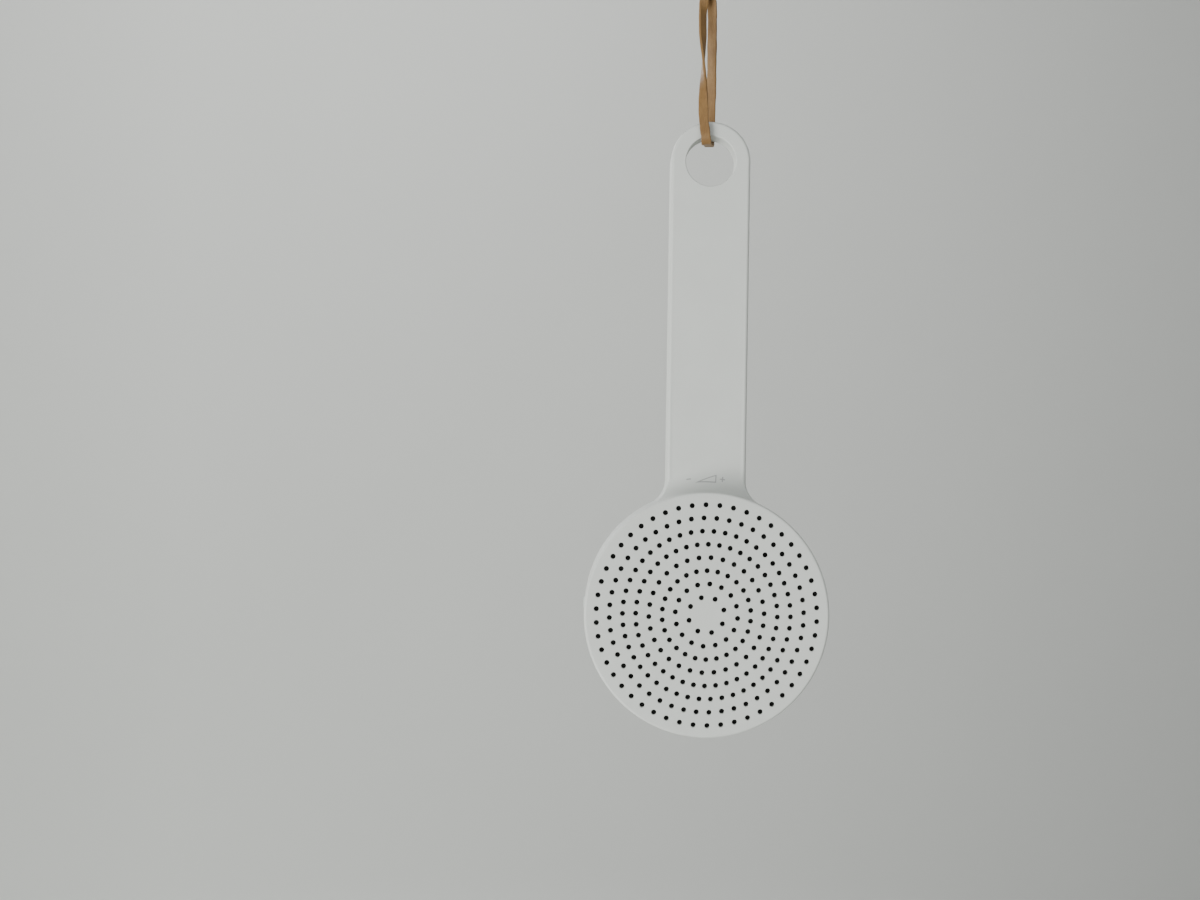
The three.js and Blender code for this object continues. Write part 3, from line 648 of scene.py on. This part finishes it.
def case_screw(index, x, z):
    """A pan head with a cross recess, on a plain shank."""
    head, shank, seat, crown, crown_height = 2.4, 1.1, 5.5, 6.2, 0.6
    profile = [(0.05, -4.5), (0.7, -4.5), (shank, -3.6), (shank, seat)]
    profile += [(head - 0.15, seat), (head, seat + 0.15), (head, crown)]
    profile += [(head * math.cos(a), crown + crown_height * math.sin(a)) for a in np.linspace(0.2, 1.45, 8)]
    made = turned(f"case_screw_head_{index}", profile, x, z, 40)
    slot = [(-1.25, -0.22), (1.25, -0.22), (1.25, 0.22), (-1.25, 0.22)]
    for turn in (0, 90):
        spun = Matrix.Rotation(math.radians(turn + 17 * index), 2)
        wide = [spun @ Vector(p) for p in slot]
        top = [(a + x, b + z) for a, b in wide]
        floor = [(a * 0.45 + x, b * 0.6 + z) for a, b in wide]
        boolean(made, loft("tool", [at_depth(top, 7.0), at_depth(floor, 5.95)]))
    return made


# ---- The lace ----

LACE_WIDTH = 3.2
LACE_THICKNESS = 0.9
LACE_FRONT = [
    (-0.8, -0.15, 6.95), (-1.2, -1.4, 6.85), (-1.4, -3, 6.5), (-1.5, -5, 6.05), (-1.65, -7.2, 6.0),
    (-1.85, -8.35, 7), (-2.1, -8.7, 8.8), (-2.4, -8.5, 11), (-2.75, -8.2, 14), (-2.9, -7.1, 20),
    (-2.9, -5.6, 27), (-2.9, -4.2, 34), (-3.1, -2.9, 42), (-3.2, -1.9, 50), (-2.8, -1.3, 55),
    (-2.0, -0.9, 59.5),
]
LACE_REAR = [
    (-0.8, 0.15, 6.95), (-0.4, 1.6, 7.05), (-0.2, 3, 7.2), (0.0, 5, 7.35), (0.2, 6.9, 7.6), (0.4, 8.2, 8.8),
    (0.5, 8.5, 11), (0.6, 8.3, 15), (0.6, 7.2, 22), (0.6, 5.8, 29), (0.5, 4.3, 36), (0.4, 2.9, 43),
    (0.3, 1.9, 50), (0.0, 1.3, 55), (-0.4, 0.9, 59.5),
]


def spline(controls, steps):
    """Points along a smooth line through the controls."""
    points = [Vector(p) for p in controls]
    points = [points[0] * 2 - points[1]] + points + [points[-1] * 2 - points[-2]]
    line = []
    for a, b, c, d in zip(points, points[1:], points[2:], points[3:]):
        for k in range(steps):
            t = k / steps
            square = (2 * a - 5 * b + 4 * c - d) * t**2
            cube = (3 * b - a - 3 * c + d) * t**3
            line.append(0.5 * (2 * b + (c - a) * t + square + cube))
    line.append(points[-2])
    return line


def lace_section():
    """The lace's cut outline: flat faces and soft cut edges."""
    return stepped(rounded_rectangle(LACE_WIDTH, LACE_THICKNESS, 0.28, 4), 0.4)


def lace(name, controls, start_width, twist_at, steps=10):
    """A flat lace along the controls, and its middle line in metres.

    twist_at(z) is the turn of its width about that line, in degrees, from the width carried along it.
    """
    line = spline(controls, steps)
    section = lace_section()
    rings = []
    width = Vector(start_width)
    for i, point in enumerate(line):
        ahead = line[min(i + 1, len(line) - 1)] - line[max(i - 1, 0)]
        tangent = ahead.normalized()
        width = (width - width.dot(tangent) * tangent).normalized()
        across = tangent.cross(width)
        turn = math.radians(twist_at(point.z))
        w = width * math.cos(turn) + across * math.sin(turn)
        t = across * math.cos(turn) - width * math.sin(turn)
        uneven_cut = 0.6 * (0.05 * math.sin(i * 0.31) + 0.03 * math.sin(i * 0.83 + 1))
        rings.append([tuple(point + w * (a * (1 + uneven_cut)) + t * b) for a, b in section])
    return loft(name, rings), [tuple(c * MM for c in point) for point in line]


def front_twist(z):
    """Flat on the handle, edge-on above it with its right edge forward, and turned over below the knot."""
    return -90 * ease(z, 15, 38) - 36 * ease(z, 34, 44) - 44 * ease(z, 50, 56)


def rear_twist(z):
    """A slight turn on the way up."""
    return -14 * ease(z, 14, 50)


def no_twist(z):
    """The lace keeps its width as it is carried along."""
    return 0


def lace_knot():
    """A wrapped knot: two and a half turns round both strands, one crossing over them, and two cut tails."""
    middle = Vector((-1.1, 0.0, 60.8))

    def turned_round(angle, radius, rise):
        """A point round the knot's middle, slightly flattened from front to back."""
        return tuple(middle + Vector((radius * math.cos(angle), -0.86 * radius * math.sin(angle), rise)))

    coil = []
    for k in range(21):
        share = k / 20
        radius = 2.15 + 0.75 * math.sin(math.pi * share) ** 0.5
        coil.append(turned_round(math.radians(200 + 880 * share), radius, -3.0 + 6.0 * share))
    over = [
        turned_round(math.radians(angle), radius, rise)
        for angle, radius, rise in (
            (172, 1.6, -3.6), (158, 3.0, -3.2), (135, 3.75, -2.2), (108, 3.95, -0.7), (80, 3.95, 0.8),
            (52, 3.75, 2.2), (28, 3.0, 3.2), (12, 1.6, 3.7),
        )
    ]
    left_tail = [(-1.9, -0.3, 62.4), (-2.5, -0.5, 65), (-3.3, -0.9, 68), (-4.7, -1.2, 71), (-6.4, -1.4, 73.5)]
    right_tail = [(-0.2, 0.3, 62.4), (0.4, 0.4, 65), (1.1, 0.6, 68), (1.9, 0.5, 72), (2.4, 0.3, 75.5)]
    knot, _ = lace("lace_knot", coil, (0, 0, 1), no_twist, 6)
    for route, width in ((over, (0.5, 0, 1)), (left_tail, (0.9, 0.4, 0)), (right_tail, (0.8, -0.6, 0))):
        strand, _ = lace("tool", route, width, no_twist, 6)
        boolean(knot, strand, "UNION")
    return knot


# ---- Materials ----

WAVE_SCALE = 0.314159  # at this scale, a wave texture's pitch is one unit


class Look:
    """A node material. Points of the texture space are in mm, at rest, in the piece's own space."""

    def __init__(self, name, **sockets):
        self.material = bpy.data.materials.new(name)
        self.material.use_nodes = True
        self.tree = self.material.node_tree
        self.shader = self.tree.nodes["Principled BSDF"]
        for socket, value in sockets.items():
            self.shader.inputs[socket.replace("_", " ")].default_value = value
        coordinates = self.node("ShaderNodeTexCoord")
        in_mm = {"Vector": coordinates.outputs["Object"], "Scale": (1 / MM,) * 3}
        self.space = self.node("ShaderNodeMapping", in_mm)
        self.height = None

    def node(self, kind, inputs=None, **settings):
        """A node with its inputs set to values or linked to other nodes' outputs."""
        made = self.tree.nodes.new(kind)
        for key, value in settings.items():
            setattr(made, key, value)
        for key, value in (inputs or {}).items():
            if isinstance(value, bpy.types.NodeSocket):
                self.tree.links.new(value, made.inputs[key])
            else:
                made.inputs[key].default_value = value
        return made

    def stretched(self, scale):
        """The texture space with each axis scaled, for grain that runs one way."""
        return self.node("ShaderNodeMapping", {"Vector": self.space.outputs[0], "Scale": scale}).outputs[0]

    def noise(self, per_mm, detail=3, rough=0.55, space=None):
        """Cloudy noise with about per_mm features to the millimetre."""
        vector = space or self.space.outputs[0]
        settings = {"Vector": vector, "Scale": per_mm, "Detail": detail, "Roughness": rough}
        return self.node("ShaderNodeTexNoise", settings).outputs["Fac"]

    def cells(self, per_mm, feature="F1"):
        """Distance in a field of cells."""
        settings = {"Vector": self.space.outputs[0], "Scale": per_mm}
        return self.node("ShaderNodeTexVoronoi", settings, feature=feature).outputs["Distance"]

    def bands(self, pitch_mm, axis):
        """Parallel waves with this pitch."""
        settings = {"Vector": self.space.outputs[0], "Scale": WAVE_SCALE / pitch_mm, "Distortion": 0.0}
        return self.node("ShaderNodeTexWave", settings, bands_direction=axis).outputs["Fac"]

    def remap(self, value, low, high, to_low=0.0, to_high=1.0):
        """A value between low and high, moved to another range and kept in it."""
        inputs = {"Value": value, "From Min": low, "From Max": high, "To Min": to_low, "To Max": to_high}
        return self.node("ShaderNodeMapRange", inputs).outputs[0]

    def math(self, operation, a, b=0.0):
        """Arithmetic on two values."""
        return self.node("ShaderNodeMath", {0: a, 1: b}, operation=operation).outputs[0]

    def mix(self, factor, first, second):
        """A colour between two."""
        made = self.node("ShaderNodeMix", data_type="RGBA")
        for index, value in ((0, factor), (6, first), (7, second)):
            if isinstance(value, bpy.types.NodeSocket):
                self.tree.links.new(value, made.inputs[index])
            else:
                made.inputs[index].default_value = value if index == 0 else (*value, 1)
        return made.outputs[2]

    def edges(self, low, high):
        """1 on outer edges and 0 on flat surfaces."""
        return self.remap(self.node("ShaderNodeNewGeometry").outputs["Pointiness"], low, high)

    def colour(self, value):
        """Links the base colour."""
        self.tree.links.new(value, self.shader.inputs["Base Color"])
        return self

    def roughness(self, value):
        """Links the roughness."""
        self.tree.links.new(value, self.shader.inputs["Roughness"])
        return self

    def clouded_roughness(self, per_mm, detail, low, high):
        """Links a roughness that wanders between low and high."""
        return self.roughness(self.remap(self.noise(per_mm, detail), 0.3, 0.7, low, high))

    def bump(self, value, depth_mm, strength=1.0):
        """Adds relief of this depth."""
        inputs = {"Height": value, "Distance": depth_mm * MM, "Strength": strength}
        if self.height is not None:
            inputs["Normal"] = self.height
        self.height = self.node("ShaderNodeBump", inputs).outputs[0]
        self.tree.links.new(self.height, self.shader.inputs["Normal"])
        return self


def shade(color, factor, lift=0.0):
    """A colour made lighter or darker, and greyer by lift."""
    return tuple(min(c * factor + lift, 1.0) for c in color)


def moulded(name, color, rough, grain=5.0, depth=0.012, wear=1.06, spots=0.12):
    """Injection-moulded plastic: fine spark texture, faint clouding, a few specks, polish along the edges."""
    look = Look(name, IOR=1.48)
    cloud = look.remap(look.noise(0.06, 4), 0.3, 0.7)
    tone = look.mix(cloud, shade(color, 0.975), shade(color, 1.02))
    specks = look.remap(look.noise(1.3, 2, 0.4), 0.70, 0.76, 0.0, spots)
    tone = look.mix(specks, tone, shade(color, 0.72))
    tone = look.mix(look.edges(0.51, 0.60), tone, shade(color, wear))
    look.colour(tone)
    spark = look.noise(grain, 3, 0.7)
    matt = look.math("ADD", spark, look.noise(0.2, 3))
    look.roughness(look.remap(matt, 0.6, 1.4, rough - 0.06, rough + 0.07))
    look.bump(spark, depth, 0.6)
    look.bump(look.noise(0.09, 2), 0.03, 0.3)
    return look.material


def rubber(name, color, rough=0.8):
    """Soft rubber with a dusty bloom and fine moulding grain."""
    look = Look(name, IOR=1.5)
    bloom = look.remap(look.noise(0.35, 5, 0.65), 0.42, 0.75, 0.0, 0.35)
    look.colour(look.mix(bloom, color, shade(color, 1.6, 0.012)))
    look.clouded_roughness(1.5, 3, rough - 0.1, rough + 0.08)
    look.bump(look.noise(7, 4, 0.7), 0.02, 0.6)
    return look.material


def metal(name, color, rough, blotch=0.12):
    """Metal with a fine grain, patchy plating and small pits."""
    look = Look(name, Metallic=1.0)
    grain = look.noise(2.5, 4, 0.6)
    patch = look.remap(look.noise(0.5, 4), 0.35, 0.7)
    tone = look.mix(patch, shade(color, 1 - blotch), shade(color, 1 + blotch / 2))
    tone = look.mix(look.edges(0.52, 0.62), tone, shade(color, 1.25))
    look.colour(tone)
    look.roughness(look.remap(look.math("ADD", grain, patch), 0.5, 1.5, rough - 0.08, rough + 0.14))
    look.bump(grain, 0.008, 0.7)
    look.bump(look.remap(look.cells(1.8), 0.0, 0.12), 0.01, 0.3)
    return look.material


def weave(name, color, pitch, depth, rough=0.9):
    """Plain-woven cloth: threads both ways, painted shade in the gaps between them, and loose fibre."""
    look = Look(name, Sheen_Weight=0.25, Sheen_Roughness=0.5)
    across = look.bands(pitch, "X")
    along = look.bands(pitch, "Z")
    threads = look.math("MAXIMUM", across, along)
    crossings = look.math("MULTIPLY", across, along)
    fibre = look.noise(9, 3, 0.7)
    # painted shade: the gaps between the threads are darkened
    tone = look.mix(look.remap(threads, 0.2, 0.8), shade(color, 0.35), color)
    tone = look.mix(look.remap(fibre, 0.45, 0.8, 0.0, 0.4), tone, shade(color, 1.5, 0.01))
    look.colour(tone)
    look.roughness(look.remap(fibre, 0.3, 0.7, rough - 0.08, rough + 0.06))
    look.bump(look.math("ADD", threads, look.math("MULTIPLY", crossings, 0.5)), depth, 0.9)
    look.bump(fibre, depth * 0.3, 0.5)
    return look.material


def lace_leather():
    """Waxed tan leather: streaks along the lace, pores, darker handled patches and pale scuffed edges."""
    light, deep = (0.275, 0.158, 0.056), (0.180, 0.094, 0.029)
    look = Look("lace_leather", IOR=1.42, Sheen_Weight=0.03, Sheen_Roughness=0.4)
    streaks = look.noise(1.6, 5, 0.65, look.stretched((1.8, 1.8, 0.22)))
    patches = look.noise(0.11, 3, 0.5)
    tone = look.mix(look.remap(look.math("ADD", streaks, patches), 0.72, 1.28), deep, light)
    pores = look.remap(look.cells(3.4), 0.05, 0.32)
    tone = look.mix(look.remap(pores, 0, 1, 0.30, 0.0), tone, shade(deep, 0.55))
    edge = look.edges(0.52, 0.60)
    tone = look.mix(look.math("MULTIPLY", edge, 0.35), tone, shade(deep, 0.8))
    look.colour(tone)
    look.roughness(look.remap(look.math("ADD", streaks, pores), 0.4, 1.5, 0.74, 0.52))
    look.bump(look.cells(2.6, "SMOOTH_F1"), 0.05, 0.5)
    look.bump(streaks, 0.05, 0.6)
    return look.material


def circuit_board():
    """Green solder mask with raised tracks and pads."""
    base, track = (0.010, 0.085, 0.030), (0.022, 0.150, 0.055)
    look = Look("board_lacquer", Coat_Weight=0.4, Coat_Roughness=0.15)
    lines = look.remap(look.cells(0.45, "DISTANCE_TO_EDGE"), 0.02, 0.05, 1.0, 0.0)
    dots = look.remap(look.cells(0.8), 0.10, 0.13, 1.0, 0.0)
    tone = look.mix(lines, base, track)
    tone = look.mix(dots, tone, (0.62, 0.55, 0.38))
    look.colour(tone)
    look.clouded_roughness(3, 3, 0.28, 0.42)
    look.bump(look.math("MAXIMUM", lines, dots), 0.03, 0.8)
    return look.material


def winding():
    """Lacquered copper wire wound in close turns, with a painted highlight on each turn and painted shade
    between turns.
    """
    look = Look("coil_winding", Metallic=1.0, Coat_Weight=0.5, Coat_Roughness=0.1)
    turns = look.bands(0.14, "Y")
    # painted highlight and shade: each turn runs from dark copper in the crease to bright copper on its crest
    look.colour(look.mix(turns, (0.20, 0.055, 0.02), (0.75, 0.30, 0.12)))
    look.clouded_roughness(4, 3, 0.22, 0.40)
    look.bump(turns, 0.06, 0.9)
    return look.material


def wrapped(name, color, rough=0.3):
    """Heat-shrunk film: glossy, with fine tension wrinkles."""
    look = Look(name, Coat_Weight=0.3, Coat_Roughness=0.12)
    wrinkle = look.noise(0.5, 4, 0.6, look.stretched((0.35, 1, 1)))
    look.colour(look.mix(look.remap(wrinkle, 0.3, 0.7), shade(color, 0.85), shade(color, 1.15)))
    look.clouded_roughness(2, 3, rough - 0.08, rough + 0.1)
    look.bump(wrinkle, 0.12, 0.6)
    return look.material


def pulp(name, color):
    """Pressed paper or moulded fibre."""
    look = Look(name)
    fibres = look.noise(2.2, 6, 0.75, look.stretched((1, 1, 0.5)))
    look.colour(look.mix(look.remap(fibres, 0.35, 0.7), shade(color, 0.8), shade(color, 1.25, 0.008)))
    look.roughness(look.remap(fibres, 0.3, 0.7, 0.7, 0.88))
    look.bump(fibres, 0.04, 0.8)
    return look.material


def foam(name, color):
    """Closed-cell foam, with painted shade in the hollows of its cells."""
    look = Look(name)
    bubbles = look.cells(2.4)
    # painted shade: each cell is darker at its hollow middle and lighter at its raised border
    look.colour(look.mix(look.remap(bubbles, 0.0, 0.5), shade(color, 0.5), shade(color, 1.3)))
    look.roughness(look.remap(bubbles, 0.0, 0.5, 0.95, 0.8))
    look.bump(bubbles, 0.15, 0.9)
    return look.material


def clear_moulding(name, color):
    """A clear part with faint flow lines."""
    look = Look(name, Transmission_Weight=0.75, IOR=1.49)
    flow = look.noise(0.8, 4, 0.6, look.stretched((0.4, 1, 1)))
    look.colour(look.mix(look.remap(flow, 0.3, 0.7), shade(color, 0.94), color))
    look.roughness(look.remap(flow, 0.3, 0.7, 0.08, 0.22))
    look.bump(flow, 0.02, 0.5)
    return look.material


WHITE = (0.648, 0.670, 0.638)
SATIN = moulded("white_satin_plastic", WHITE, 0.50)
INK = moulded("legend_ink", (0.36, 0.37, 0.365), 0.45, wear=1.0, spots=0.05)
BUTTON_GREY = moulded("pale_grey_plastic", (0.555, 0.590, 0.575), 0.55)
STEEL = metal("zinc_plated_steel", (0.52, 0.53, 0.55), 0.34)
LEATHER = lace_leather()
SMOKED_LENS = clear_moulding("smoked_lens", (0.09, 0.10, 0.10))

CAD_LOOKS = {
    "white_acetal": moulded("natural_acetal", (0.80, 0.79, 0.74), 0.40, 6.0, 0.006),
    "black_plastic": moulded("black_glass_filled_plastic", (0.016, 0.017, 0.018), 0.55, 3.0, 0.03, 1.6, 0.3),
    "grey_rubber": rubber("grey_silicone", (0.25, 0.26, 0.26), 0.7),
    "black_rubber": rubber("black_rubber", (0.012, 0.012, 0.013)),
    "steel": STEEL,
    "copper_wire": winding(),
    "nickel": metal("nickel_plate", (0.45, 0.45, 0.46), 0.18, blotch=0.06),
    "cloth": weave("acoustic_cloth", (0.006, 0.006, 0.006), 0.32, 0.08),
    "cone_paper": pulp("cone_fibre", (0.024, 0.025, 0.027)),
    "spider_cloth": weave("spider_cloth", (0.36, 0.25, 0.10), 0.6, 0.10, 0.85),
    "foam": foam("battery_foam", (0.05, 0.05, 0.053)),
    "board": circuit_board(),
    "battery_wrap": wrapped("battery_film", (0.10, 0.17, 0.26)),
    "nylon": moulded("cream_nylon", (0.80, 0.76, 0.66), 0.45, 6.0, 0.008),
    "lead_red": wrapped("red_insulation", (0.42, 0.022, 0.018), 0.4),
    "lead_black": wrapped("black_insulation", (0.010, 0.010, 0.011), 0.4),
    "light_pipe": clear_moulding("light_pipe_clear", (0.86, 0.90, 0.88)),
    "light_body": clear_moulding("light_body_clear", (0.90, 0.86, 0.64)),
}


def dress_cad_nodes():
    """Gives every CAD node that no fine piece stands for its look. The others have no look here."""
    for part in frame["record"]["subparts"]:
        node = frame["nodes"][part["node"]]
        look = CAD_LOOKS.get(part["material_slot"])
        if look is None:
            continue
        for slot in node.material_slots:
            slot.link = "OBJECT"
            slot.material = look


# ---- Assembly ----


def place(made, look, body, nodes, angle=32):
    """Shades a piece, dresses it, and says which body it rides on and which CAD nodes it stands for."""
    smooth(made, angle)
    made.data.materials.clear()
    made.data.materials.append(look)
    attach(made, body)
    if nodes:
        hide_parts(*nodes)
    return made


def add_laces():
    """Both strands and the knot above them."""
    knot = lace_knot()
    place(knot, LEATHER, "case", ["strap_knot"], 50)
    for name, controls, twist, node in (
        ("lace_front", LACE_FRONT, front_twist, "strap_front"),
        ("lace_rear", LACE_REAR, rear_twist, "strap_rear"),
    ):
        strand, path = lace(name, controls, (1, 0, 0), twist)
        place(strand, LEATHER, "case", [node], 50)


LEGEND_RADIUS = 44.35  # of the arc that the marks stand on, about the drum's axis


def legend_level(x, z):
    """The depth of the front surface at the legend, a hair above the plastic."""
    return -front_level(x, z) - 0.02


def legend_shape(name, outlines):
    """A printed mark that follows the cove: its outer outline, then any outline left open inside it."""
    flat = triangulate(outlines)
    outline = [point for ring in outlines for point in ring]
    count = len(outline)
    levels = [(x, legend_level(x, z), z) for x, z in outline]
    points = levels + [(x, y + 0.015, z) for x, y, z in levels]
    faces = flat + [tuple(i + count for i in reversed(face)) for face in flat]
    start = 0
    for ring in outlines:
        faces += [(a, b, b + count, a + count) for a, b in closed_edges(start, len(ring))]
        start += len(ring)
    return mesh_object(name, points, faces)


def legend_outline(centre_degrees, points):
    """An outline of (along, up) about a point of the legend's arc, bent round the drum's axis."""
    up = math.radians(centre_degrees)
    placed = []
    for along, rise in points:
        radius = LEGEND_RADIUS + rise
        angle = up - along / LEGEND_RADIUS
        placed.append((radius * math.cos(angle), DRUM_Z + radius * math.sin(angle)))
    return placed


def add_legend():
    """Minus, a rising wedge drawn in outline, and plus, printed above the dial."""
    bar = [[(-0.75, -0.2), (0.75, -0.2), (0.75, 0.2), (-0.75, 0.2)]]
    wedge = [
        [(-3.6, -1.35), (3.6, -1.35), (3.6, 1.35)],
        [(-1.75, -0.98), (3.23, -0.98), (3.23, 0.86)],
    ]
    cross = [(-0.85, -0.2), (-0.2, -0.2), (-0.2, -0.85), (0.2, -0.85), (0.2, -0.2), (0.85, -0.2)]
    cross = [cross + [(-a, -b) for a, b in cross]]
    for name, degrees, drawing in (
        ("legend_minus", 97.6, bar), ("legend_wedge", 90.3, wedge), ("legend_plus", 83.0, cross),
    ):
        mark = legend_shape(name, [legend_outline(degrees, stepped(ring, 0.2)) for ring in drawing])
        place(mark, INK, "case", [])


def add_pieces():
    """Every fine piece that stands for a CAD node."""
    place(front_housing(), SATIN, "case", ["front_housing"])
    place(rear_housing(), SATIN, "case", ["rear_housing"])
    place(volume_dial(), SATIN, "volume_dial", ["volume_dial"])
    place(power_button(), BUTTON_GREY, "power_button", ["power_button"])
    place(light_lens(), SMOKED_LENS, "case", ["status_light_pipe"])
    place(charging_cover(), SATIN, "charging_port_cover", ["charging_port_cover"])
    for i, (x, z) in enumerate(CASE_SCREWS, 1):
        place(case_screw(i, x, z), STEEL, "case", [f"case_screw_{i}"])


add_laces()
add_pieces()
add_legend()
dress_cad_nodes()

# ---- Floor, backdrop and light ----


def studio():
    """A round, pale studio: the floor sweeps up into a wall all round, with painted shade that darkens it
    softly from left to right.
    """
    floor, wall, top, sweep_radius = -1.6, 3.0, 3.4, 0.6
    flat = wall - sweep_radius
    profile = [(0.0, floor), (flat, floor)]
    for angle in np.linspace(0.1, math.pi / 2, 12):
        rise = sweep_radius - sweep_radius * math.cos(angle)
        profile.append((flat + sweep_radius * math.sin(angle), floor + rise))
    profile.append((wall, top))
    turns = 72
    points = [(x, y, z) for radius, z in profile for x, y in circle(radius, turns)]
    faces = []
    for i in range(len(profile) - 1):
        faces += ring_faces(i * turns, (i + 1) * turns, turns)
    mesh = bpy.data.meshes.new("studio_sweep")
    mesh.from_pydata(points, [], faces)
    mesh.shade_smooth()
    sweep = bpy.data.objects.new("studio_sweep", mesh)
    bpy.context.collection.objects.link(sweep)
    look = Look("studio_paper")
    across = look.node("ShaderNodeSeparateXYZ", {0: look.space.outputs[0]}).outputs["X"]
    # painted shade: the paper's colour darkens from left to right along X
    side = look.remap(across, -900, 1300)
    paper = look.mix(look.noise(0.004, 3), (0.97, 0.97, 0.97), (1.0, 1.0, 1.0))
    painted_side_shade = look.mix(side, (0.79, 0.805, 0.775), (0.405, 0.412, 0.40))
    tinted = look.node("ShaderNodeMix", data_type="RGBA", blend_type="MULTIPLY")
    tinted.inputs[0].default_value = 1.0
    look.tree.links.new(painted_side_shade, tinted.inputs[6])
    look.tree.links.new(paper, tinted.inputs[7])
    look.colour(tinted.outputs[2])
    look.clouded_roughness(0.5, 2, 0.85, 0.95)
    mesh.materials.append(look.material)


def area_light(name, place_m, target_m, size, energy, tint=(1, 1, 1), spread=180):
    """A square soft light that faces a point. spread is the full angle it shines over."""
    data = bpy.data.lights.new(name, "AREA")
    data.spread = math.radians(spread)
    data.size = size
    data.energy = energy
    data.color = tint
    lamp = bpy.data.objects.new(name, data)
    lamp.location = place_m
    lamp.rotation_euler = (Vector(target_m) - Vector(place_m)).to_track_quat("-Z", "Y").to_euler()
    bpy.context.collection.objects.link(lamp)


def lighting():
    """Broad light from the left and a little below, a weak one from above, one behind and one on the wall."""
    middle = (0, 0, -0.09)
    on_wall = (0, 2.9, 0)
    area_light("window_light", (-1.15, -1.3, -0.62), middle, size=1.0, energy=38, tint=(1.0, 0.997, 0.985))
    area_light("front_fill", (0.5, -1.5, 1.1), middle, size=1.4, energy=11, tint=(0.96, 0.98, 1.0))
    area_light("back_fill", (-1.3, 1.5, 0.9), middle, size=1.2, energy=26, tint=(0.98, 0.99, 1.0))
    area_light("backdrop_light", (-0.5, 1.1, 2.8), on_wall, size=1.6, energy=23, spread=84)
    world = bpy.data.worlds.new("studio")
    world.use_nodes = True
    background = world.node_tree.nodes["Background"]
    background.inputs["Color"].default_value = (0.80, 0.81, 0.81, 1)
    background.inputs["Strength"].default_value = 0.62
    bpy.context.scene.world = world


studio()
lighting()
